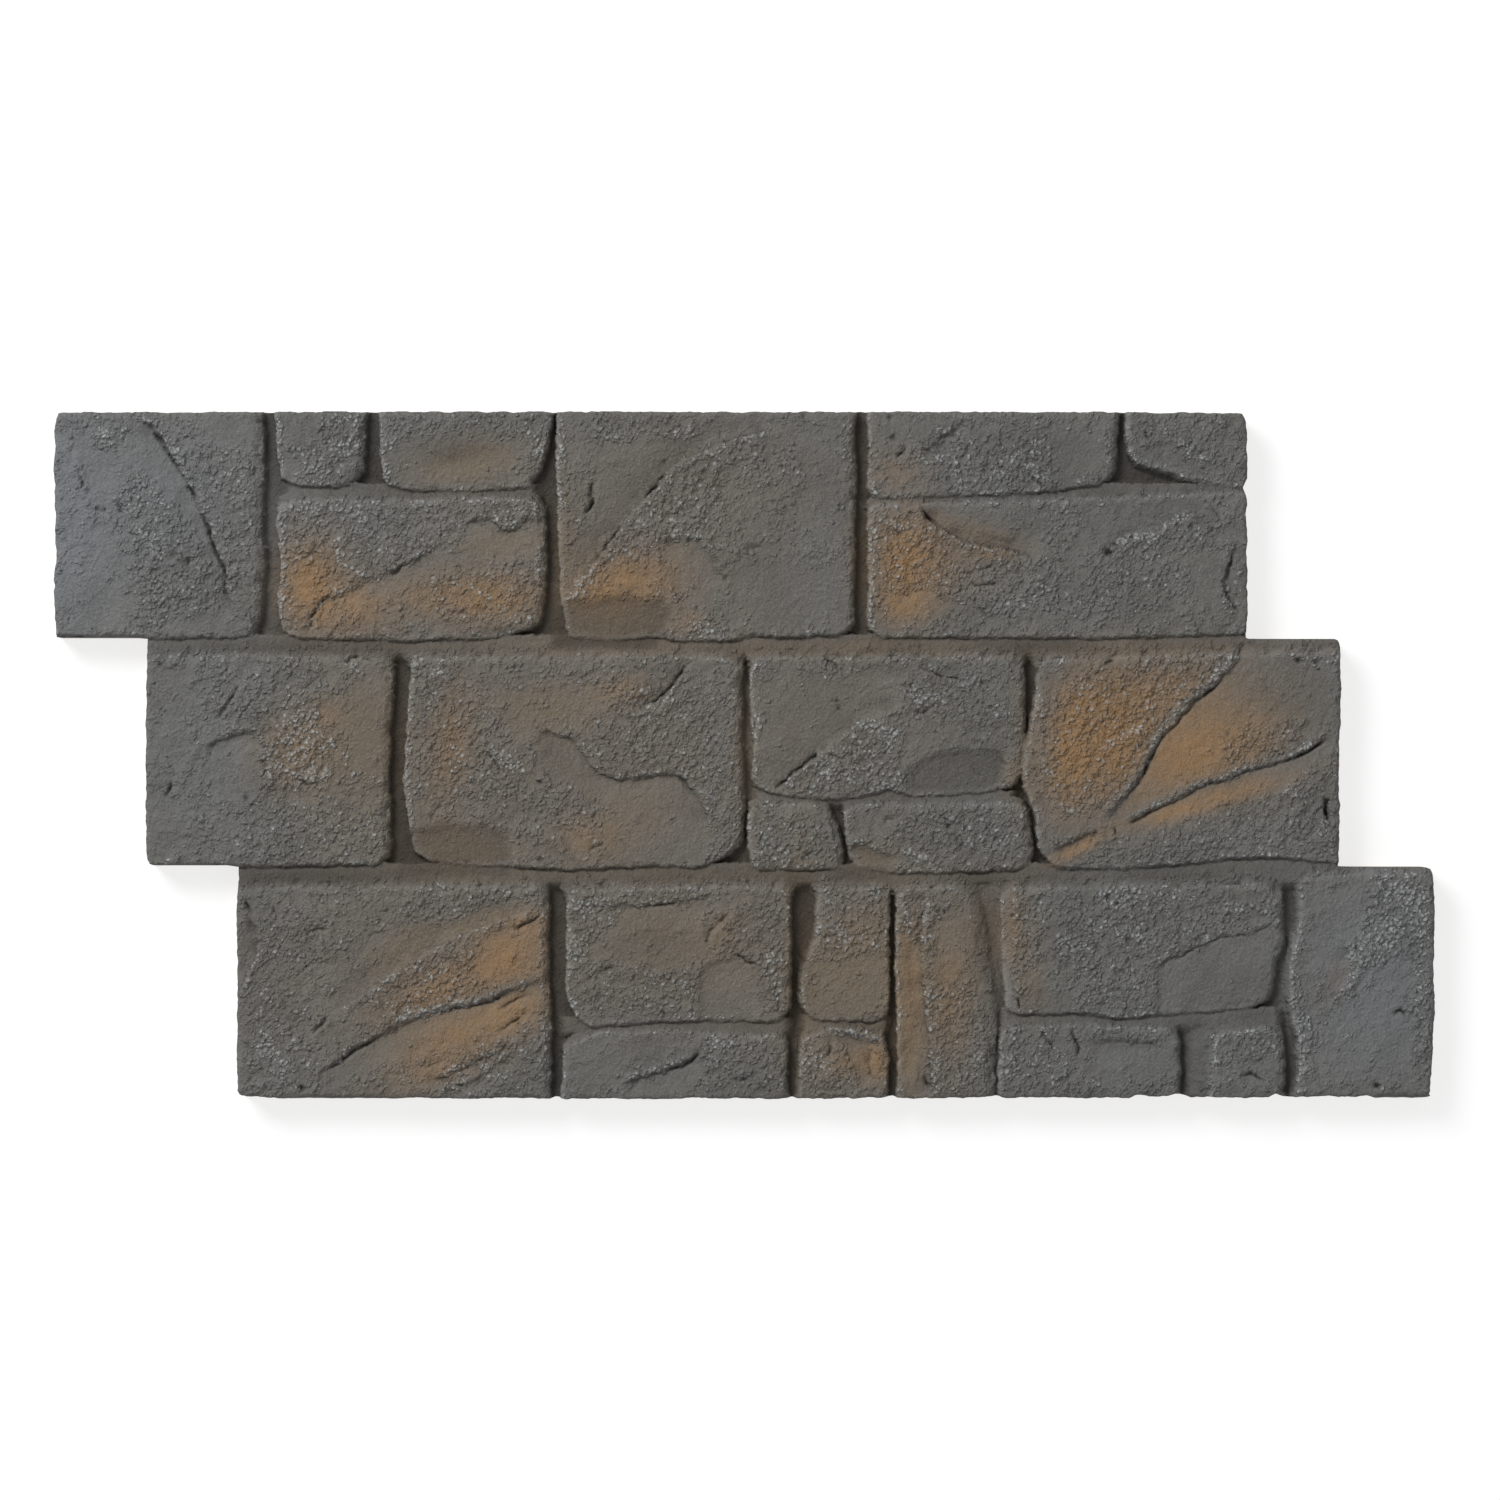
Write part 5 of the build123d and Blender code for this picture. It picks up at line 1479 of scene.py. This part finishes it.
grey_coat = (0.130, 0.128, 0.120, 1)
grey_dark = (0.108, 0.106, 0.099, 1)
ochre_paint = (0.248, 0.143, 0.062, 1)
brown_paint = (0.168, 0.118, 0.066, 1)
bluish_paint = (0.158, 0.166, 0.182, 1)
# The dark wash, also used for painted shade
wash_and_shade_paint = (0.036, 0.032, 0.027, 1)
brown_wash = (0.038, 0.028, 0.017, 1)
# The pale dry-brush paint, also used for painted highlights
pale_paint_and_highlight = (0.44, 0.46, 0.46, 1)
bare_foam = (0.66, 0.55, 0.38, 1)
foam_shade = (0.56, 0.45, 0.30, 1)


def empty_tree(owner):
    """The node tree of a material or world, cleared for new nodes."""
    owner.use_nodes = True
    owner.node_tree.nodes.clear()
    return owner.node_tree


coat = bpy.data.materials.new("painted_stone_face")
tree = empty_tree(coat)


def node(kind, **values):
    """A node with some of its inputs or settings set, by name."""
    made = tree.nodes.new(kind)
    for name, value in values.items():
        if hasattr(made, name):
            setattr(made, name, value)
        else:
            made.inputs[name.replace("_", " ")].default_value = value
    return made


def link(start, end):
    """Joins one socket to another."""
    tree.links.new(start, end)


def maths(operation, first, second, clamp=False):
    """A Math node on two sockets or numbers."""
    made = node("ShaderNodeMath", operation=operation, use_clamp=clamp)
    for socket, source in zip(made.inputs, (first, second)):
        if isinstance(source, (int, float)):
            socket.default_value = source
        else:
            link(source, socket)
    return made.outputs[0]


def times(first, second, clamp=False):
    """A Math node that multiplies."""
    return maths("MULTIPLY", first, second, clamp)


def plus(first, second):
    """A Math node that adds."""
    return maths("ADD", first, second)


def minus(first, second):
    """A Math node that takes the second from the first."""
    return maths("SUBTRACT", first, second)


def larger(first, second):
    """A Math node that keeps the larger of two."""
    return maths("MAXIMUM", first, second)


def ramp(source, low, high, low_out=0.0, high_out=1.0):
    """Eases a value from low to high."""
    made = node(
        "ShaderNodeMapRange", interpolation_type="SMOOTHSTEP",
        From_Min=low, From_Max=high, To_Min=low_out, To_Max=high_out,
    )
    link(source, made.inputs["Value"])
    return made.outputs[0]


def blend(share, under, over):
    """Lays a share of one colour over another."""
    made = node("ShaderNodeMix", data_type="RGBA", clamp_factor=True)
    if isinstance(share, (int, float)):
        made.inputs["Factor"].default_value = share
    else:
        link(share, made.inputs["Factor"])
    for name, source in (("A", under), ("B", over)):
        socket = [s for s in made.inputs if s.name == name and s.type == "RGBA"][0]
        if isinstance(source, tuple):
            socket.default_value = source
        else:
            link(source, socket)
    return [s for s in made.outputs if s.type == "RGBA"][0]


# Places on the face are turned aslant, so that no pattern of the noise runs along the courses
noise_turn = math.radians(33)
place = node("ShaderNodeTexCoord").outputs["Object"]
flattened = node("ShaderNodeVectorMath", operation="MULTIPLY")
link(place, flattened.inputs[0])
flattened.inputs[1].default_value = (1, 1, 0)
aslant = node("ShaderNodeMapping", Rotation=(0, 0, noise_turn))
link(flattened.outputs[0], aslant.inputs["Vector"])
plan_place = aslant.outputs[0]


def noise(size, detail=2.0, roughness=0.5, deep=False, bend=0.0):
    """Noise with patches some size metres across, over the face or all through the panel."""
    made = node(
        "ShaderNodeTexNoise", noise_dimensions="3D" if deep else "2D",
        Scale=1 / size, Detail=detail, Roughness=roughness, Distortion=bend,
    )
    link(place if deep else plan_place, made.inputs["Vector"])
    return made.outputs[0]


def attribute(name):
    """The three colour channels and the fourth of a stored attribute."""
    source = node("ShaderNodeAttribute", attribute_name=name)
    parts = tree.nodes.new("ShaderNodeSeparateColor")
    link(source.outputs["Color"], parts.inputs[0])
    return [*parts.outputs, source.outputs["Alpha"]]


ochre_share, brown_share, bluish_share, wash_and_shade_share = attribute("tints")
rugged_share, frost_and_highlight_share, hollow_share, side_share = attribute("grain")
arris_highlight_share = attribute("edges")[0]

# Brush strokes, drawn out along one slant
stroke_turn = math.radians(-65)
stroke_length = 0.011
stroke_width = 0.0028
brush_place = node(
    "ShaderNodeMapping", Rotation=(0, 0, stroke_turn), Scale=(1 / stroke_length, 1 / stroke_width, 1)
)
link(plan_place, brush_place.inputs["Vector"])
stroke_noise = node("ShaderNodeTexNoise", noise_dimensions="2D", Scale=1.0, Detail=1.0)
link(brush_place.outputs[0], stroke_noise.inputs["Vector"])
strokes = stroke_noise.outputs[0]

# How much each spot is broken into crumbs, and how much pale paint, with its painted highlight, was
# brushed over it
mottle = noise(0.055, 3.0, 0.6)
fine = noise(0.0024, 2.0, 0.6)
patches = noise(0.014, 3.0, 0.6)
clods = noise(0.0080, 2.0, 0.6, bend=0.4)
crumb_amount = ramp(plus(rugged_share, times(minus(patches, 0.5), 1.6)), 0.15, 1.0)
frost_cloud = times(minus(noise(0.013, 3.0, 0.6), 0.5), 2.2)
frost_cloud = times(frost_cloud, plus(0.3, times(rugged_share, 0.4)))
frost_and_highlight_patch = ramp(plus(frost_and_highlight_share, frost_cloud), 0.05, 0.85)

# The broken grain: torn grains all over, and on them single crumbs that catch the pale paint and the
# painted highlight
warp_size = 0.007
warp_reach = 0.003
warp = node("ShaderNodeTexNoise", noise_dimensions="2D", Scale=1 / warp_size, Detail=1.0)
link(plan_place, warp.inputs["Vector"])
bent = node("ShaderNodeVectorMath", operation="MULTIPLY_ADD")
link(warp.outputs["Color"], bent.inputs[0])
bent.inputs[1].default_value = (warp_reach, warp_reach, 0.0)
link(plan_place, bent.inputs[2])


def crumb(size, density):
    """Round crumbs in a share of the cells, and how readily each of them takes the pale paint and painted
    highlight.
    """
    cells = node(
        "ShaderNodeTexVoronoi", feature="F1", voronoi_dimensions="2D", Scale=1 / size, Randomness=0.85
    )
    link(bent.outputs[0], cells.inputs["Vector"])
    chance = tree.nodes.new("ShaderNodeSeparateColor")
    link(cells.outputs["Color"], chance.inputs[0])
    shape = ramp(cells.outputs["Distance"], 0.52, 0.0)
    kept = ramp(minus(density, chance.outputs[0]), -0.05, 0.15)
    shape = times(shape, kept)
    painted_top = ramp(minus(frost_and_highlight_patch, chance.outputs[1]), -0.25, 0.10)
    strength = plus(0.20, times(chance.outputs[2], 0.45))
    return shape, times(shape, times(painted_top, strength))


crumb_density = plus(times(crumb_amount, 0.55), times(frost_and_highlight_patch, 0.35))
large_crumb, large_pale = crumb(0.0056, crumb_density)
small_crumb, small_pale = crumb(0.0034, times(crumb_density, 0.8))
torn_shape = ramp(noise(0.0055, 2.0, 0.55), 0.36, 0.70)
torn_height = times(torn_shape, crumb_amount)

# The mottled grey coat, a little darker where the stone is smooth
smooth_darker = 0.15
colour = blend(ramp(mottle, 0.30, 0.70), grey_dark, grey_coat)
smooth_share = minus(1.0, crumb_amount)
colour = blend(times(smooth_share, smooth_darker), colour, wash_and_shade_paint)

# The sprayed colours, of which the ochre is the coarsest
brown_strength = 0.8
colour = blend(bluish_share, colour, bluish_paint)
colour = blend(times(brown_share, brown_strength), colour, brown_paint)
spray_specks = plus(0.55, times(noise(0.012, 3.0, 0.7), 0.9))
colour = blend(times(ochre_share, spray_specks, clamp=True), colour, ochre_paint)

# The wash and painted shade left in hollows, pits and scoops and between the torn grains
hollow_darker = 0.50
torn_darker = 0.22
speck_strength = 0.10
shaded = ramp(hollow_share, 0.52, 0.95)
colour = blend(times(shaded, hollow_darker), colour, wash_and_shade_paint)
torn_foot = times(minus(1.0, torn_shape), crumb_amount)
colour = blend(times(torn_foot, torn_darker), colour, wash_and_shade_paint)
colour = blend(ramp(fine, 0.62, 0.30, 0.0, speck_strength), colour, wash_and_shade_paint)

# The pale paint on grains, crumbs and arrises, with a painted highlight on the crumb tops and on the
# arrises that face the lamp, and over all that the wash in the joints, with its painted shade and shadow
crumb_paler = 0.08
arris_highlight_paler = 0.14
wash_and_shade_strength = 0.92
colour = blend(ramp(fine, 0.50, 0.80, 0.0, speck_strength), colour, pale_paint_and_highlight)
# Every crumb top a little paler: a painted highlight
crumb_top = larger(large_crumb, small_crumb)
colour = blend(times(crumb_top, crumb_paler), colour, pale_paint_and_highlight)
colour = blend(larger(large_pale, small_pale), colour, pale_paint_and_highlight)
colour = blend(times(arris_highlight_share, arris_highlight_paler), colour, pale_paint_and_highlight)
wash_and_shade_tone = blend(brown_share, wash_and_shade_paint, brown_wash)
colour = blend(times(wash_and_shade_share, wash_and_shade_strength), colour, wash_and_shade_tone)

# The sides: the grey overspray reaches about half way down. Below it, and on the back, the foam is bare
normal = node("ShaderNodeNewGeometry")
facing = tree.nodes.new("ShaderNodeSeparateXYZ")
link(normal.outputs["True Normal"], facing.inputs[0])
height = tree.nodes.new("ShaderNodeSeparateXYZ")
link(place, height.inputs[0])
side_face = times(ramp(facing.outputs["Z"], 0.55, 0.15), side_share)
side_coat = blend(noise(0.016, 3.0, 0.6, True), grey_dark, grey_coat)
colour = blend(side_face, colour, side_coat)
spray_top, spray_foot, spray_waver = 0.020, 0.009, 0.022
cloud = times(minus(noise(0.012, 3.0, 0.7, True), 0.5), spray_waver)
overspray = plus(height.outputs["Z"], cloud)
bare = times(side_face, ramp(overspray, spray_top, spray_foot))
under = ramp(facing.outputs["Z"], -0.5, -0.9)
bare = larger(bare, under)
foam_tone = blend(noise(0.03, 3.0, 0.6, True), bare_foam, foam_shade)
colour = blend(bare, colour, foam_tone)

shader = node("ShaderNodeBsdfPrincipled", Specular_IOR_Level=0.3)
link(colour, shader.inputs["Base Color"])
dull = plus(0.78, times(minus(fine, 0.5), 0.25))
link(dull, shader.inputs["Roughness"])

# The relief of the paint and grain in metres, which is too fine for the skin
fine_rise, fine_rise_rough = 0.0008, 0.0002
clod_rise, clod_rise_rough = 0.0016, 0.0014
stroke_rise = 0.0005
large_rise, small_rise = 0.0017, 0.0010
torn_rise = 0.0010
side_rise = 0.0022
grain_height = times(fine, plus(fine_rise, times(crumb_amount, fine_rise_rough)))
grain_height = plus(grain_height, times(strokes, stroke_rise))
clod_height = times(clods, plus(clod_rise, times(crumb_amount, clod_rise_rough)))
grain_height = plus(grain_height, clod_height)
crumb_height = plus(times(large_crumb, large_rise), times(small_crumb, small_rise))
relief_height = plus(crumb_height, times(torn_height, torn_rise))
face_grain = times(plus(relief_height, grain_height), minus(1.0, side_face))
side_grain = times(noise(0.005, 3.0, 0.6, True), times(side_face, side_rise))
bump = node("ShaderNodeBump", Strength=1.0, Distance=1.0)
link(plus(face_grain, side_grain), bump.inputs["Height"])
link(bump.outputs[0], shader.inputs["Normal"])
output = node("ShaderNodeOutputMaterial")
link(shader.outputs[0], output.inputs["Surface"])

panel.data.materials.append(coat)
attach(panel, "root")
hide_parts("wall_panel")

# The studio: a plain white floor that the panel lies on, one large soft lamp up to its left, a pale
# sky all round for fill, and the camera straight above, as the photograph was taken.
scene = bpy.context.scene
scene.view_settings.view_transform = "Standard"
floor_half = 6.0
floor_gap = 0.0002
white = (1, 1, 1, 1)


def lit_or_seen(lit, seen, output):
    """Lights the panel by one shader and shows the camera another."""
    rays = node("ShaderNodeLightPath").outputs
    mirrored = larger(rays["Is Camera Ray"], rays["Is Glossy Ray"])
    choice = node("ShaderNodeMixShader")
    link(larger(mirrored, rays["Is Transmission Ray"]), choice.inputs[0])
    link(lit.outputs[0], choice.inputs[1])
    link(seen.outputs[0], choice.inputs[2])
    link(choice.outputs[0], node(output).inputs["Surface"])


floor_mesh = bpy.data.meshes.new("floor")
floor_corners = [(x * floor_half, y * floor_half, 0) for x, y in ((-1, -1), (1, -1), (1, 1), (-1, 1))]
floor_mesh.from_pydata(floor_corners, [], [(0, 1, 2, 3)])
floor = bpy.data.objects.new("floor", floor_mesh)
floor.location.z = cad_low.z - floor_gap
scene.collection.objects.link(floor)
floor_paint = bpy.data.materials.new("white_floor")
tree = empty_tree(floor_paint)
lit_floor = node("ShaderNodeBsdfDiffuse", Color=(0.8, 0.8, 0.8, 1))
seen_floor = node("ShaderNodeBsdfDiffuse", Color=(0.30, 0.30, 0.30, 1))
glow = node("ShaderNodeEmission", Color=white, Strength=0.74)
glowing_floor = node("ShaderNodeAddShader")
link(seen_floor.outputs[0], glowing_floor.inputs[0])
link(glow.outputs[0], glowing_floor.inputs[1])
lit_or_seen(lit_floor, glowing_floor, "ShaderNodeOutputMaterial")
floor.data.materials.append(floor_paint)

sky = bpy.data.worlds.new("studio")
scene.world = sky
tree = empty_tree(sky)
fill = node("ShaderNodeBackground", Color=white, Strength=0.46)
backdrop = node("ShaderNodeBackground", Color=white, Strength=1.0)
lit_or_seen(fill, backdrop, "ShaderNodeOutputWorld")

lamp_data = bpy.data.lights.new("soft_lamp", "AREA")
lamp_data.shape = "SQUARE"
lamp_data.size = 3.0
lamp_data.energy = 450.0
lamp = bpy.data.objects.new("soft_lamp", lamp_data)
lamp.location = (-3.6, 3.8, 4.6)
lamp.rotation_euler = (-lamp.location).to_track_quat("-Z", "Y").to_euler()
scene.collection.objects.link(lamp)

# The camera looks straight down from far off, and takes in the photograph's frame of 1500 by 1500
frame_pixels = 1500
camera_height = 5.0
face_height = 0.036
film_width = 36.0
view_width = frame_pixels * pixel
camera_data = bpy.data.cameras.new("camera")
camera_data.sensor_width = film_width
camera_data.lens = film_width * (camera_height - face_height) / view_width
camera_data.clip_end = 50.0
camera = bpy.data.objects.new("camera", camera_data)
camera.location = (*to_frame(frame_pixels / 2, frame_pixels / 2), camera_height)
scene.collection.objects.link(camera)
scene.camera = camera
